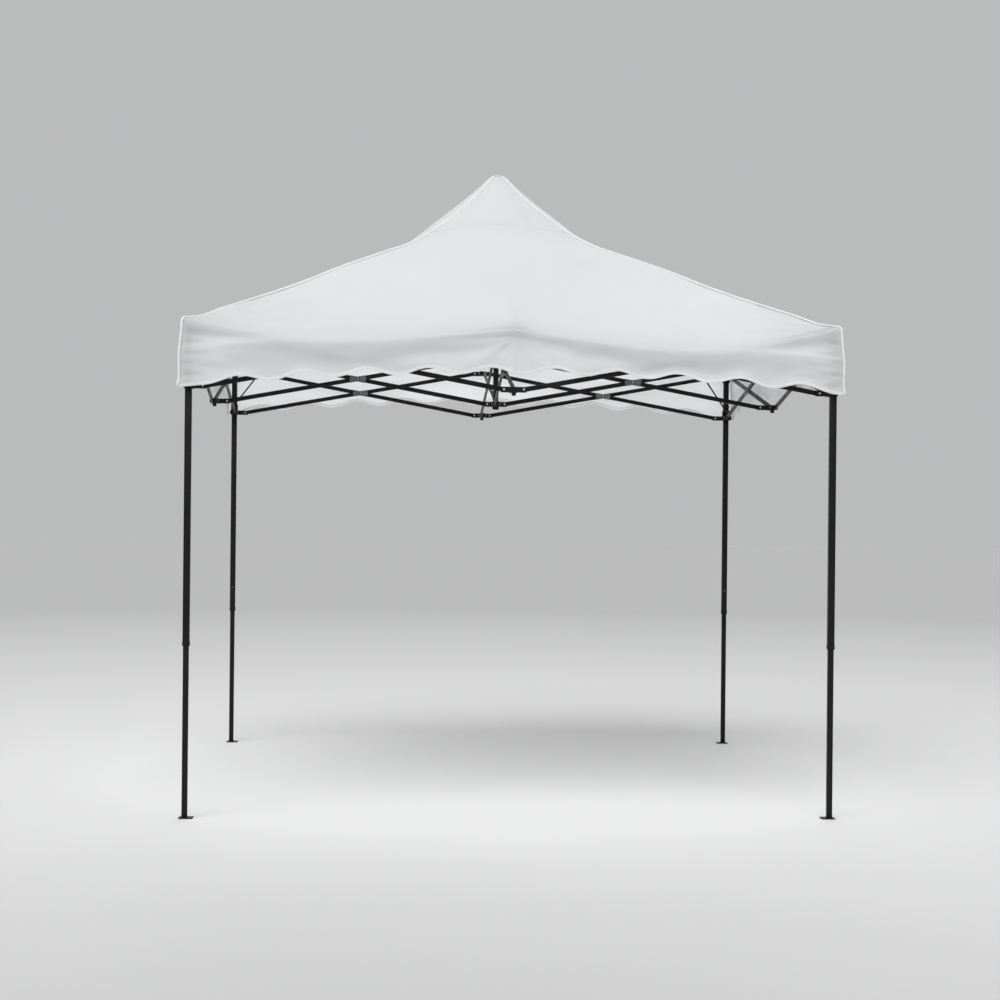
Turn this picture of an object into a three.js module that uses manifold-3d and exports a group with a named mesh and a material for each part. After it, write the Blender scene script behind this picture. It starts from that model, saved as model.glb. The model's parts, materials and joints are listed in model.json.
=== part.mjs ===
// Pop up canopy: four telescopic legs, a folding scissor truss on each side, four scissor trusses to a
// central hub, a sliding mast and a fabric cover. Millimetres, +Z up, origin on the ground at the centre.
import * as THREE from 'three';
import { mergeVertices } from 'three/addons/utils/BufferGeometryUtils.js';
import Module from 'manifold-3d';

const wasm = await Module();
wasm.setup();

// ---------------------------------------------------------------- driving dimensions
const LEG_OFFSET = 1450; // leg axis from the centre, along X and along Y
const UPPER_PIVOT_Z = 2170; // top pivots of every scissor
const LOWER_PIVOT_Z = 1925; // bottom pivots of every scissor

const CORNER_ARM = 65; // leg axis to the pivots of its bracket and slider
const SIDE_ARM = 45; // middle connector's axis to the pivots of its side bars
const INNER_ARM = 65; // middle connector's axis to the pivot of its inner bar
const HUB_ARM = 45; // hub axis to its pivots

const BAR_HEIGHT = 22;
const BAR_WIDTH = 11;
const BAR_WALL = 0.7;
const BAR_END = 12; // bar beyond its end pivots
const BAR_SHIFT = 8; // bar's centre plane from the truss plane, to one side or the other

const PIN_RADIUS = 3;
const PIN_HOLE_RADIUS = 3.9;
const ROUND_SIDES = 6; // facets of the pins and their holes
const FORK_SLOT = 12.6;
const FORK_BACK = 20; // back wall of a fork from its pivot
const FORK_END = 12; // fork's ears beyond its pivot
const ARM_WIDTH = 36;
const ARM_BELOW = 12; // connector below and above its pivots
const ARM_ABOVE = 12;

const OUTER_SIZE = 30; // square tubes of the leg
const INNER_SIZE = 25;
const LEG_WALL = 1.2;
const OUTER_BOTTOM_Z = 768;
const LEG_TOP_Z = 2200;
const INNER_TOP_Z = 1100;
const FOOT_SIZE = 64;
const FOOT_THICKNESS = 3;
const FOOT_SHIFT = 6; // foot plate's centre from the leg axis, towards the middle
const STAKE_HOLE_RADIUS = 5;

const COLLAR_SIZE = 38; // bracket and slider round the leg
const COLLAR_GAP = 0.4; // clearance to the tube, on each side
const SLIDER_HEIGHT = 60;
const BRACKET_BELOW = 34; // bracket's skirt below its pivots
const BRACKET_TOP_Z = 2204;

const LEG_BUTTON_Z = 903;
const BUTTON_RADIUS = 4;
const BUTTON_HOLE_RADIUS = 4.7;
const BUTTON_PROUD = 5; // button's face beyond the tube
const BUTTON_CHANNEL = 6; // half width of the channel that lets the slider pass the button
const INNER_GAP = 0.3; // button's tip to the inner tube
const INNER_HOLE_STEP = 350; // spacing of the height holes in the inner tube
const INNER_HOLE_COUNT = 3;
const BOSS_DEPTH = 12; // slider's boss, and the trigger button in it
const BOSS_SIZE = 18;
const TRIGGER_TRAVEL = 4;
const TRIGGER_PROUD = 5;

const MAST_TUBE_RADIUS = 14;
const MAST_TUBE_TOP_Z = 2520;
const MAST_BORE_RADIUS = 12.4;
const MAST_POLE_RADIUS = 11;
const MAST_POLE_BOTTOM_Z = 1960;
const MAST_POLE_WALL = 1.2;
const HUB_BORE_RADIUS = 15;
const CAP_RADIUS = 30;
const CAP_BOTTOM_Z = 3040;
const CAP_TOP_Z = 3086;
const MAST_SIDES = 12;
const LUG_SIZE = 18;
const LUG_HEIGHT = 15;

const COVER_HALF = 1473; // outer face of the valance
const COVER_THICKNESS = 1.2;
const COVER_SHOULDER = 15; // rounding of the eave edge
const EAVE_MIDDLE_Z = 2200;
const EAVE_CORNER_RISE = 23;
const EAVE_SAG = 75; // between the corner and the middle of a side
const HEM_MIDDLE_Z = 2010;
const HEM_CORNER_DROP = 75;
const COVER_COLUMNS = 12; // along each side
const CONE_FACTOR = 1.12; // radius of the round top over the half width of the square it replaces
const CONE_END = 0.45; // where the round top has become a square pyramid, as a share of COVER_HALF
// height of the hip ridge: share of the half width from the centre, height
const HIP_PROFILE = [
  [0, 3104], [0.1, 2972], [0.24, 2775], [0.32, 2700], [0.45, 2597],
  [0.65, 2450], [0.82, 2330], [0.93, 2262], [1, 2223],
];

const BLACK_STEEL = { color: 0x17181a, roughness: 0.45, metalness: 0.6 };
const BLACK_PLASTIC = { color: 0x101112, roughness: 0.6, metalness: 0 };
const GREY_PLASTIC = { color: 0x7c7e80, roughness: 0.55, metalness: 0 };
const WHITE_FABRIC = { color: 0xe3e3e5, roughness: 0.85, metalness: 0 };

// worked out from the above
const PIVOT_SPAN = LEG_OFFSET - CORNER_ARM - SIDE_ARM; // between a bar's end pivots, along the ground
const PIVOT_RISE = UPPER_PIVOT_Z - LOWER_PIVOT_Z;
const BAR_SLOPE = Math.atan2(PIVOT_RISE, PIVOT_SPAN);
const BAR_LENGTH = Math.hypot(PIVOT_RISE, PIVOT_SPAN);
const BAR_MIDDLE_Z = (UPPER_PIVOT_Z + LOWER_PIVOT_Z) / 2;
const QUARTER_TURN = Math.PI / 2;

const canopy = new THREE.Group();

// ---------------------------------------------------------------- solids
function toSolid(geometry) {
  const plain = geometry.clone();
  plain.deleteAttribute('normal');
  plain.deleteAttribute('uv');
  const merged = mergeVertices(plain, 1e-4);
  return new wasm.Manifold(new wasm.Mesh({
    numProp: 3,
    vertProperties: new Float32Array(merged.attributes.position.array),
    triVerts: new Uint32Array(merged.index.array),
  }));
}

function toGeometry(solid) {
  const mesh = solid.getMesh();
  const geometry = new THREE.BufferGeometry();
  geometry.setAttribute('position', new THREE.BufferAttribute(mesh.vertProperties, 3));
  geometry.setIndex(new THREE.BufferAttribute(mesh.triVerts, 1));
  return geometry;
}

// A block between two opposite corners.
function block(low, high) {
  const size = high.map((value, i) => Math.abs(value - low[i]));
  const geometry = new THREE.BoxGeometry(...size);
  geometry.translate(...high.map((value, i) => (value + low[i]) / 2));
  return toSolid(geometry);
}

// A round bar along Y or Z, 'y' or 'z', from one point to another on that axis.
function rod(radius, axis, centre, from, to, sides = ROUND_SIDES) {
  const geometry = new THREE.CylinderGeometry(radius, radius, Math.abs(to - from), sides);
  const middle = (from + to) / 2;
  if (axis === 'y') {
    geometry.translate(centre[0], middle, centre[1]);
  } else {
    geometry.rotateX(QUARTER_TURN);
    geometry.translate(centre[0], centre[1], middle);
  }
  return toSolid(geometry);
}

function squareTube(size, wall, bottom, top) {
  const half = size / 2;
  const inside = half - wall;
  return block([-half, -half, bottom], [half, half, top])
    .subtract(block([-inside, -inside, bottom - 1], [inside, inside, top + 1]));
}

function addMesh(parent, name, solid, finish) {
  const mesh = new THREE.Mesh(toGeometry(solid), new THREE.MeshStandardMaterial(finish));
  mesh.name = name;
  parent.add(mesh);
  return mesh;
}

// ---------------------------------------------------------------- scissor bars
// A hollow bar along X, centred on its middle pivot, with a hole at each end pivot.
function plainBar() {
  const reach = BAR_LENGTH / 2;
  const end = reach + BAR_END;
  const inside = [BAR_WIDTH / 2 - BAR_WALL, BAR_HEIGHT / 2 - BAR_WALL];
  let bar = block([-end, -BAR_WIDTH / 2, -BAR_HEIGHT / 2], [end, BAR_WIDTH / 2, BAR_HEIGHT / 2])
    .subtract(block([-end - 1, -inside[0], -inside[1]], [end + 1, inside[0], inside[1]]));
  for (const x of [-reach, reach]) {
    bar = bar.subtract(rod(PIN_HOLE_RADIUS, 'y', [x, 0], -BAR_WIDTH, BAR_WIDTH));
  }
  return bar;
}

// The bar on the positive side of a truss carries the crossing pin; the other one has a hole for it.
const pinnedBar = plainBar()
  .add(rod(PIN_RADIUS, 'y', [0, 0], BAR_WIDTH / 2 + 1, -2 * BAR_SHIFT - BAR_WIDTH / 2 - 2));
const boredBar = plainBar().subtract(rod(PIN_HOLE_RADIUS, 'y', [0, 0], -BAR_WIDTH, BAR_WIDTH));

function addBar(parent, name, solid, centre, heading, slope) {
  const mesh = addMesh(parent, name, solid, BLACK_STEEL);
  mesh.position.set(...centre);
  mesh.rotation.order = 'ZYX';
  mesh.rotation.z = heading;
  mesh.rotation.y = slope;
}

// ---------------------------------------------------------------- connectors
// An arm along local +X from the origin to past its pivot, with a fork slot and its pin. The slot is
// `side` millimetres to one side of the arm.
function forkArm(start, pivot, side) {
  const half = ARM_WIDTH / 2;
  const end = pivot + FORK_END;
  const slotLow = side - FORK_SLOT / 2;
  return block([start, -half, -ARM_BELOW], [end, half, ARM_ABOVE])
    .subtract(block([pivot - FORK_BACK, slotLow, -ARM_BELOW - 1], [end + 1, slotLow + FORK_SLOT, ARM_ABOVE + 1]))
    .add(rod(PIN_RADIUS, 'y', [pivot, 0], -half - 1.5, half + 1.5));
}

function turned(solid, degrees) {
  return solid.rotate([0, 0, degrees]);
}

// A connector in the middle of a side: two side arms along Y and one towards the centre, along -X.
function middleConnector(side) {
  const half = ARM_WIDTH / 2;
  return block([-half, -half, -ARM_BELOW], [half, half, ARM_ABOVE])
    .add(turned(forkArm(0, SIDE_ARM, -side), 90))
    .add(turned(forkArm(0, SIDE_ARM, side), -90))
    .add(turned(forkArm(0, INNER_ARM, -side), 180));
}

const upperConnector = middleConnector(-BAR_SHIFT);
const lowerConnector = middleConnector(BAR_SHIFT)
  .add(block([-LUG_SIZE / 2, -LUG_SIZE / 2, -ARM_BELOW - LUG_HEIGHT], [LUG_SIZE / 2, LUG_SIZE / 2, 0]));

// A hub with four arms.
function hubBody(side) {
  let hub = forkArm(0, HUB_ARM, side);
  for (const degrees of [90, 180, 270]) {
    hub = hub.add(turned(forkArm(0, HUB_ARM, side), degrees));
  }
  return hub;
}

function upperHub() {
  return hubBody(BAR_SHIFT)
    .subtract(rod(HUB_BORE_RADIUS, 'z', [0, 0], -ARM_BELOW - 1, ARM_ABOVE + 1, MAST_SIDES));
}

// The lower hub has the mast's outer tube fixed in it; heights here are from the lower pivots.
function lowerHub() {
  const top = MAST_TUBE_TOP_Z - LOWER_PIVOT_Z;
  return hubBody(-BAR_SHIFT)
    .add(rod(MAST_TUBE_RADIUS, 'z', [0, 0], -ARM_BELOW - LUG_HEIGHT, top, MAST_SIDES))
    .subtract(rod(MAST_BORE_RADIUS, 'z', [0, 0], 0, top + 1, MAST_SIDES));
}

// The two arms of a bracket or slider, towards the neighbouring legs.
function cornerArms(signX, signY, side) {
  const alongX = forkArm(0, CORNER_ARM, signX > 0 ? -side * signY : side * signY);
  const alongY = forkArm(0, CORNER_ARM, signY > 0 ? side * signX : -side * signX);
  return turned(alongX, signX > 0 ? 180 : 0)
    .add(turned(alongY, signY > 0 ? -90 : 90));
}

function collarBore(bottom, top) {
  const half = OUTER_SIZE / 2 + COLLAR_GAP;
  return block([-half, -half, bottom], [half, half, top]);
}

// Bracket on top of a leg; heights are from the upper pivots.
function cornerBracket(signX, signY) {
  const half = COLLAR_SIZE / 2;
  return cornerArms(signX, signY, BAR_SHIFT)
    .add(block([-half, -half, -BRACKET_BELOW], [half, half, BRACKET_TOP_Z - UPPER_PIVOT_Z]))
    .subtract(collarBore(-BRACKET_BELOW - 1, LEG_TOP_Z - UPPER_PIVOT_Z + COLLAR_GAP));
}

// Slider that runs on a leg, with a boss for its trigger button on the side that looks to the middle,
// along Y, and a channel there to clear the leg's button; heights are from the lower pivots.
function slider(signX, signY) {
  const half = COLLAR_SIZE / 2;
  const top = SLIDER_HEIGHT - ARM_BELOW;
  const bossZ = top - BOSS_SIZE / 2;
  const bossHalf = BOSS_SIZE / 2;
  const channelDepth = OUTER_SIZE / 2 + BUTTON_PROUD + 0.8;
  return cornerArms(signX, signY, -BAR_SHIFT)
    .add(block([-half, -half, -ARM_BELOW], [half, half, top]))
    .add(block([-bossHalf, 0, bossZ - bossHalf], [bossHalf, -signY * (half + BOSS_DEPTH), top]))
    .subtract(collarBore(-ARM_BELOW - 1, top + 1))
    .subtract(block([-BUTTON_CHANNEL, 0, -ARM_BELOW - 1], [BUTTON_CHANNEL, -signY * channelDepth, top + 1]))
    .subtract(rod(BUTTON_HOLE_RADIUS, 'y', [0, bossZ], -signY * (half + 1), -signY * (half + BOSS_DEPTH + 1), 12));
}

// ---------------------------------------------------------------- legs
// The height button is on the face of the leg that looks to the middle, along Y.
function outerLeg(signY) {
  const hole = rod(BUTTON_HOLE_RADIUS, 'y', [0, LEG_BUTTON_Z], 0, -signY * OUTER_SIZE, 12);
  return squareTube(OUTER_SIZE, LEG_WALL, OUTER_BOTTOM_Z, LEG_TOP_Z).subtract(hole);
}

function innerLeg(signX, signY) {
  const half = FOOT_SIZE / 2;
  const centre = [-signX * FOOT_SHIFT, -signY * FOOT_SHIFT];
  const stakeAt = centre.map((value, i) => value - [signX, signY][i] * (half - 2 * STAKE_HOLE_RADIUS));
  let leg = squareTube(INNER_SIZE, LEG_WALL, FOOT_THICKNESS / 2, INNER_TOP_Z)
    .add(block([centre[0] - half, centre[1] - half, 0], [centre[0] + half, centre[1] + half, FOOT_THICKNESS]))
    .subtract(rod(STAKE_HOLE_RADIUS, 'z', stakeAt, -1, FOOT_THICKNESS + 1, 12));
  for (let i = 0; i < INNER_HOLE_COUNT; i += 1) {
    const z = LEG_BUTTON_Z - i * INNER_HOLE_STEP;
    leg = leg.subtract(rod(BUTTON_HOLE_RADIUS, 'y', [0, z], 0, -signY * INNER_SIZE, 12));
  }
  return leg;
}

// ---------------------------------------------------------------- mast
function mastPole() {
  const tube = rod(MAST_POLE_RADIUS, 'z', [0, 0], MAST_POLE_BOTTOM_Z, CAP_BOTTOM_Z + 5, MAST_SIDES)
    .subtract(rod(MAST_POLE_RADIUS - MAST_POLE_WALL, 'z', [0, 0], MAST_POLE_BOTTOM_Z - 1, CAP_BOTTOM_Z, MAST_SIDES));
  const profile = [[0, 0], [1, 0], [1, 0.4], [0.75, 0.75], [0.4, 0.95], [0, 1]].map(
    ([r, h]) => new THREE.Vector2(r * CAP_RADIUS, CAP_BOTTOM_Z + h * (CAP_TOP_Z - CAP_BOTTOM_Z)),
  );
  const cap = new THREE.LatheGeometry(profile, MAST_SIDES);
  cap.rotateX(QUARTER_TURN);
  return tube.add(toSolid(cap));
}

// ---------------------------------------------------------------- cover
function hipHeight(share) {
  for (let i = 1; i < HIP_PROFILE.length; i += 1) {
    const [s0, z0] = HIP_PROFILE[i - 1];
    const [s1, z1] = HIP_PROFILE[i];
    if (share <= s1) {
      return z0 + ((z1 - z0) * (share - s0)) / (s1 - s0);
    }
  }
  return HIP_PROFILE.at(-1)[1];
}

// Height of the eave edge at u, from -1 to 1 along a side.
function eaveHeight(u) {
  return EAVE_MIDDLE_Z + EAVE_CORNER_RISE * u * u - EAVE_SAG * Math.sin(Math.PI * u) ** 2;
}

// A point of the roof, at `share` of the way out and u along the side that faces +X.
function roofPoint(share, u) {
  const round = Math.max(0, 1 - share / CONE_END);
  const length = share * (COVER_HALF - COVER_SHOULDER);
  const angle = (u * Math.PI) / 4;
  const x = length * (1 - round + round * CONE_FACTOR * Math.cos(angle));
  const y = length * (u * (1 - round) + round * CONE_FACTOR * Math.sin(angle));
  const drop = HIP_PROFILE.at(-1)[1] - eaveHeight(u);
  return [x, y, hipHeight(share) - drop * share ** 3];
}

// The rows of points of one column, from just below the peak to the hem.
function coverColumn(u) {
  const rows = HIP_PROFILE.slice(1).map(([share]) => roofPoint(share, u));
  const eave = eaveHeight(u);
  const hem = HEM_MIDDLE_Z - HEM_CORNER_DROP * u * u;
  rows.push([COVER_HALF, COVER_HALF * u, eave - COVER_SHOULDER]);
  rows.push([COVER_HALF, COVER_HALF * u, (eave + hem) / 2]);
  rows.push([COVER_HALF, COVER_HALF * u, hem]);
  return rows;
}

function coverSkin(shrink, lower) {
  const columns = [];
  for (let side = 0; side < 4; side += 1) {
    const cos = [1, 0, -1, 0][side];
    const sin = [0, 1, 0, -1][side];
    for (let i = 0; i < COVER_COLUMNS; i += 1) {
      const rows = coverColumn((2 * i) / COVER_COLUMNS - 1);
      columns.push(rows.map(([x, y, z]) => [
        (x * cos - y * sin) * shrink,
        (x * sin + y * cos) * shrink,
        z - lower,
      ]));
    }
  }
  return columns;
}

// A thin closed shell: the outer skin, the inner skin and the edge of the hem that joins them.
function coverGeometry() {
  const outer = coverSkin(1, 0);
  const inner = coverSkin(1 - COVER_THICKNESS / COVER_HALF, COVER_THICKNESS);
  const rows = outer[0].length;
  const columns = outer.length;
  const points = [];
  const faces = [];
  for (const skin of [outer, inner]) {
    skin.forEach((column) => points.push(...column));
  }
  // the two skins share the hem's height, so the edge between them is flat
  for (let c = 0; c < columns; c += 1) {
    points[(columns + c) * rows + rows - 1][2] = points[c * rows + rows - 1][2];
  }
  const outerPeak = points.push([0, 0, HIP_PROFILE[0][1]]) - 1;
  const innerPeak = points.push([0, 0, HIP_PROFILE[0][1] - COVER_THICKNESS]) - 1;
  const at = (skin, c, r) => (skin * columns + (c % columns)) * rows + r;
  for (let c = 0; c < columns; c += 1) {
    faces.push([outerPeak, at(0, c, 0), at(0, c + 1, 0)]);
    faces.push([innerPeak, at(1, c + 1, 0), at(1, c, 0)]);
    for (let r = 1; r < rows; r += 1) {
      faces.push([at(0, c, r - 1), at(0, c, r), at(0, c + 1, r)]);
      faces.push([at(0, c, r - 1), at(0, c + 1, r), at(0, c + 1, r - 1)]);
      faces.push([at(1, c, r - 1), at(1, c + 1, r), at(1, c, r)]);
      faces.push([at(1, c, r - 1), at(1, c + 1, r - 1), at(1, c + 1, r)]);
    }
    faces.push([at(0, c, rows - 1), at(1, c, rows - 1), at(1, c + 1, rows - 1)]);
    faces.push([at(0, c, rows - 1), at(1, c + 1, rows - 1), at(0, c + 1, rows - 1)]);
  }
  const geometry = new THREE.BufferGeometry();
  geometry.setAttribute('position', new THREE.Float32BufferAttribute(points.flat(), 3));
  geometry.setIndex(faces.flat());
  return geometry;
}

// ---------------------------------------------------------------- assembly
// Each side's group has +X pointing out of the canopy and +Y along the side.
const SIDES = [
  { name: 'front', turn: -QUARTER_TURN },
  { name: 'right', turn: 0 },
  { name: 'back', turn: QUARTER_TURN },
  { name: 'left', turn: 2 * QUARTER_TURN },
];

for (const { name, turn } of SIDES) {
  const side = new THREE.Group();
  side.rotation.z = turn;
  canopy.add(side);

  const spokeMiddle = HUB_ARM + PIVOT_SPAN / 2;
  addBar(side, `${name}_spoke_upper_bar`, pinnedBar, [spokeMiddle, BAR_SHIFT, BAR_MIDDLE_Z], 0, BAR_SLOPE);
  addBar(side, `${name}_spoke_lower_bar`, boredBar, [spokeMiddle, -BAR_SHIFT, BAR_MIDDLE_Z], 0, -BAR_SLOPE);

  const barMiddle = SIDE_ARM + PIVOT_SPAN / 2;
  for (const [end, sign] of [['a', -1], ['b', 1]]) {
    const heading = sign * QUARTER_TURN;
    // the rising bar's pin points inwards, whichever way the bar is turned
    const risingBar = sign > 0 ? pinnedBar.rotate([0, 0, 180]) : pinnedBar;
    const middle = [LEG_OFFSET + BAR_SHIFT, sign * barMiddle, BAR_MIDDLE_Z];
    addBar(side, `${name}_rising_bar_${end}`, risingBar, middle, heading, -BAR_SLOPE);
    addBar(side, `${name}_falling_bar_${end}`, boredBar, [LEG_OFFSET - BAR_SHIFT, middle[1], middle[2]],
      heading, BAR_SLOPE);
  }

  const upper = addMesh(side, `${name}_upper_connector`, upperConnector, BLACK_PLASTIC);
  upper.position.set(LEG_OFFSET, 0, UPPER_PIVOT_Z);
  const lower = addMesh(side, `${name}_lower_connector`, lowerConnector, BLACK_PLASTIC);
  lower.position.set(LEG_OFFSET, 0, LOWER_PIVOT_Z);
}

const CORNERS = [
  { name: 'front_left', signX: -1, signY: -1 },
  { name: 'front_right', signX: 1, signY: -1 },
  { name: 'back_right', signX: 1, signY: 1 },
  { name: 'back_left', signX: -1, signY: 1 },
];

for (const { name, signX, signY } of CORNERS) {
  const corner = new THREE.Group();
  corner.position.set(signX * LEG_OFFSET, signY * LEG_OFFSET, 0);
  canopy.add(corner);

  addMesh(corner, `${name}_outer_leg`, outerLeg(signY), BLACK_STEEL);
  addMesh(corner, `${name}_inner_leg`, innerLeg(signX, signY), BLACK_STEEL);
  addMesh(corner, `${name}_top_bracket`, cornerBracket(signX, signY), BLACK_PLASTIC).position.z = UPPER_PIVOT_Z;
  addMesh(corner, `${name}_slider`, slider(signX, signY), BLACK_PLASTIC).position.z = LOWER_PIVOT_Z;

  const tip = -signY * (INNER_SIZE / 2 + INNER_GAP);
  const face = -signY * (OUTER_SIZE / 2 + BUTTON_PROUD);
  addMesh(corner, `${name}_leg_button`, rod(BUTTON_RADIUS, 'y', [0, LEG_BUTTON_Z], tip, face, 12), GREY_PLASTIC);

  const bossFace = COLLAR_SIZE / 2 + BOSS_DEPTH;
  const triggerZ = LOWER_PIVOT_Z + SLIDER_HEIGHT - ARM_BELOW - BOSS_SIZE / 2;
  const triggerBack = -signY * (COLLAR_SIZE / 2 + 1 + TRIGGER_TRAVEL + 1);
  const trigger = rod(BUTTON_RADIUS, 'y', [0, triggerZ], triggerBack, -signY * (bossFace + TRIGGER_PROUD), 12);
  addMesh(corner, `${name}_slider_button`, trigger, GREY_PLASTIC);
}

addMesh(canopy, 'upper_hub', upperHub(), BLACK_PLASTIC).position.z = UPPER_PIVOT_Z;
addMesh(canopy, 'lower_hub_with_mast_tube', lowerHub(), BLACK_PLASTIC).position.z = LOWER_PIVOT_Z;
addMesh(canopy, 'mast_pole', mastPole(), BLACK_STEEL);

const cover = new THREE.Mesh(coverGeometry(), new THREE.MeshStandardMaterial(WHITE_FABRIC));
cover.name = 'cover';
canopy.add(cover);

export default canopy;
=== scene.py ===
"""Pop up canopy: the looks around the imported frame. Metres, +Z up, the front side looks along -Y."""
import json
import math
import random

import bmesh
import bpy
import numpy as np
from mathutils import Matrix, Vector

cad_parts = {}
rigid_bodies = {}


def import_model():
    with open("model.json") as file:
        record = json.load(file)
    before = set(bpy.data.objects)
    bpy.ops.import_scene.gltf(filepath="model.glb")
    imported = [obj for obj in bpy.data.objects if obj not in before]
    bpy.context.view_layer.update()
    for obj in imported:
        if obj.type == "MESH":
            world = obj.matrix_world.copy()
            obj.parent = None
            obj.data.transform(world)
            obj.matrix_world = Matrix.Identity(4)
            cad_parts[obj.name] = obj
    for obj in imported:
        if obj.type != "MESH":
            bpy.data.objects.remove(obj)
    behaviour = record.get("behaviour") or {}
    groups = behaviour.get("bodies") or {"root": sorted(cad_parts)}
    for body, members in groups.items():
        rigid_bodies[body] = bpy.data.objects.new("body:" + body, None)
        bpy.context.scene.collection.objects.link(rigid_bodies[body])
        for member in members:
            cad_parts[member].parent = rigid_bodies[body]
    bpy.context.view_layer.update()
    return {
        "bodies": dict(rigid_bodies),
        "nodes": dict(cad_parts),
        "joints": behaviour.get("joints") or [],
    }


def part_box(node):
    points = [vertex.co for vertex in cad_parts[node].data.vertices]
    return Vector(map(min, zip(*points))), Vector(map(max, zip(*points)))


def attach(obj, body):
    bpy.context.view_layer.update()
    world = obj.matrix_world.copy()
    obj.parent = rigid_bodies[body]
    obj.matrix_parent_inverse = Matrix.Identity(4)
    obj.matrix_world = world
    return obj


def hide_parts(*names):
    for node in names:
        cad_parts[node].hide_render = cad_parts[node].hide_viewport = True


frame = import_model()
JOINTS = {joint["name"]: joint for joint in frame["joints"]}


def pivot(name):
    return Vector(JOINTS[name]["pos_m"])


# ---------------------------------------------------------------- sizes taken from the frame
LEG_LOW, LEG_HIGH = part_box("front_right_outer_leg")
LEG = (LEG_LOW.x + LEG_HIGH.x) / 2  # leg axis from the centre, along X and along Y
OUTER_TUBE = LEG_HIGH.x - LEG_LOW.x
UPPER_Z = pivot("fold").z
LOWER_Z = pivot("front_lower_connector_pivot").z
HUB_ARM = -pivot("fold").y
SPAN = -pivot("front_lower_connector_pivot").y - HUB_ARM  # between a bar's end pivots, along the ground
BAR_SHIFT = abs(pivot("fold").x)
FOLD_ANGLE = math.radians(JOINTS["fold"]["range_deg"][1])
BAR_REACH = math.hypot(SPAN, UPPER_Z - LOWER_Z)
BAR_SLOPE = math.atan2(UPPER_Z - LOWER_Z, SPAN)
FOLD_TRAVEL = SPAN - BAR_REACH * math.cos(BAR_SLOPE + FOLD_ANGLE)  # of a leg, along X and along Y
COVER_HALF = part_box("cover")[1].x
ROOF_HALF = COVER_HALF - 0.015  # half width of the flat part of the roof
PEAK_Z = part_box("cover")[1].z
BUTTON_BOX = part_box("front_right_leg_button")

SIDES = ("right", "back", "left", "front")  # a side looks along +X turned by this many quarter turns
CORNERS = {"front_left": (-1, -1), "front_right": (1, -1), "back_right": (1, 1), "back_left": (-1, 1)}
COVER_BODY = "upper_hub_and_cover"

# ---------------------------------------------------------------- sizes of the looks
BAR_SIZE = (0.011, 0.022)
BAR_WALL, BAR_ROUND = 0.0007, 0.0026
PLUG_PROUD = 0.0006  # an end plug is this much bigger than its bar
# of an end plug: distance past the bar's end, and how much smaller the plug is there
PLUG_PROFILE = ((0, 0.0026), (0.0002, 0.0003), (0.0012, 0), (0.0020, 0.0006), (0.0024, 0.002))
BAR_BEYOND = 0.012  # bar past its end pivots
TUBE_WALL = 0.0012
TUBE_ROUND = 0.0028
INNER_TUBE = 0.025
SLEEVE_LENGTH = 0.085
SLEEVE_WALL = 0.0015
FORK_HALF = 0.018
CROSSING_SEAT = 0.0137  # outer faces of the two bars, from the truss plane
RIVET_RADIUS, RIVET_HEIGHT = 0.0048, 0.0032
WASHER_RADIUS, WASHER_HEIGHT = 0.0088, 0.0010

FABRIC_THICKNESS = 0.0012
EAVE_MIDDLE_Z = 2.201
EAVE_CORNER_Z = 2.229
EAVE_LOW_AT = 0.64  # lowest place of the eave between the middle, 0, and the corner, 1
EAVE_SAG = {"front": (0.056, 0.082), "right": (0.062, 0.074), "back": (0.078, 0.058), "left": (0.07, 0.06)}
HEM_MIDDLE_Z, HEM_CORNER_DROP = 2.012, 0.075
SCALLOP, SCALLOP_HEIGHT = 0.189, 0.015  # length as a share of half a side, and half its height
SCALLOP_SHIFT = 0.026  # of the middle scallop from the middle of the side
RIDGE_DROP = 0.15  # of the tight fold where it meets the corner seam, below the eave
RIDGE_OUT = 0.020  # how far that fold and the slack eave stand out
HEM_FLARE = 0.022  # how far the hem would swing out over the whole height of the valance
FAN_DROP = 0.042  # of the place where the folds of a side's middle start, below the eave
CONE_FACTOR = 1.12  # radius of the round top of the roof, as a share of the square's half width
CONE_START, CONE_END = 0.10, 0.58  # where the roof starts to turn from round to square, and where it ends
# height of the hip ridge: share of the half width from the centre, height
HIP_PROFILE = (
    (0, PEAK_Z + 0.003), (0.010, PEAK_Z + 0.002), (0.020, PEAK_Z - 0.003), (0.032, PEAK_Z - 0.013),
    (0.06, 3.050), (0.1, 2.994), (0.2, 2.870), (0.3, 2.748), (0.35, 2.696), (0.4, 2.656), (0.5, 2.574),
    (0.65, 2.452), (0.82, 2.334), (0.93, 2.266), (1, EAVE_CORNER_Z),
)
CORNER_DIP, CORNER_DIP_AT, CORNER_DIP_LENGTH = 0.011, 0.95, 0.04  # the hip levels off just before its corner
COLUMNS = 144  # of the cover's mesh, along each side
CROWDING = 0.45  # of the columns towards the middle and the corners of a side
ROOF_ROWS, SHOULDER_ROWS, VALANCE_ROWS = 64, 6, 30

# ---------------------------------------------------------------- camera
CAMERA_AT = (-0.596, -10.686, 1.429)
CAMERA_YAW = math.radians(3.34)
CAMERA_ROLL = math.radians(0.56)
CAMERA_LENS = 74.2


def make_camera():
    data = bpy.data.cameras.new("camera")
    data.lens = CAMERA_LENS
    data.sensor_width = 36
    data.clip_end = 200
    camera = bpy.data.objects.new("camera", data)
    forward = Vector((math.sin(CAMERA_YAW), math.cos(CAMERA_YAW), 0))
    level = Vector((math.cos(CAMERA_YAW), -math.sin(CAMERA_YAW), 0))
    right = level * math.cos(CAMERA_ROLL) + Vector((0, 0, 1)) * math.sin(CAMERA_ROLL)
    up = right.cross(forward)
    camera.matrix_world = Matrix.Translation(CAMERA_AT) @ Matrix((right, up, -forward)).transposed().to_4x4()
    bpy.context.scene.collection.objects.link(camera)
    bpy.context.scene.camera = camera


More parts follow.
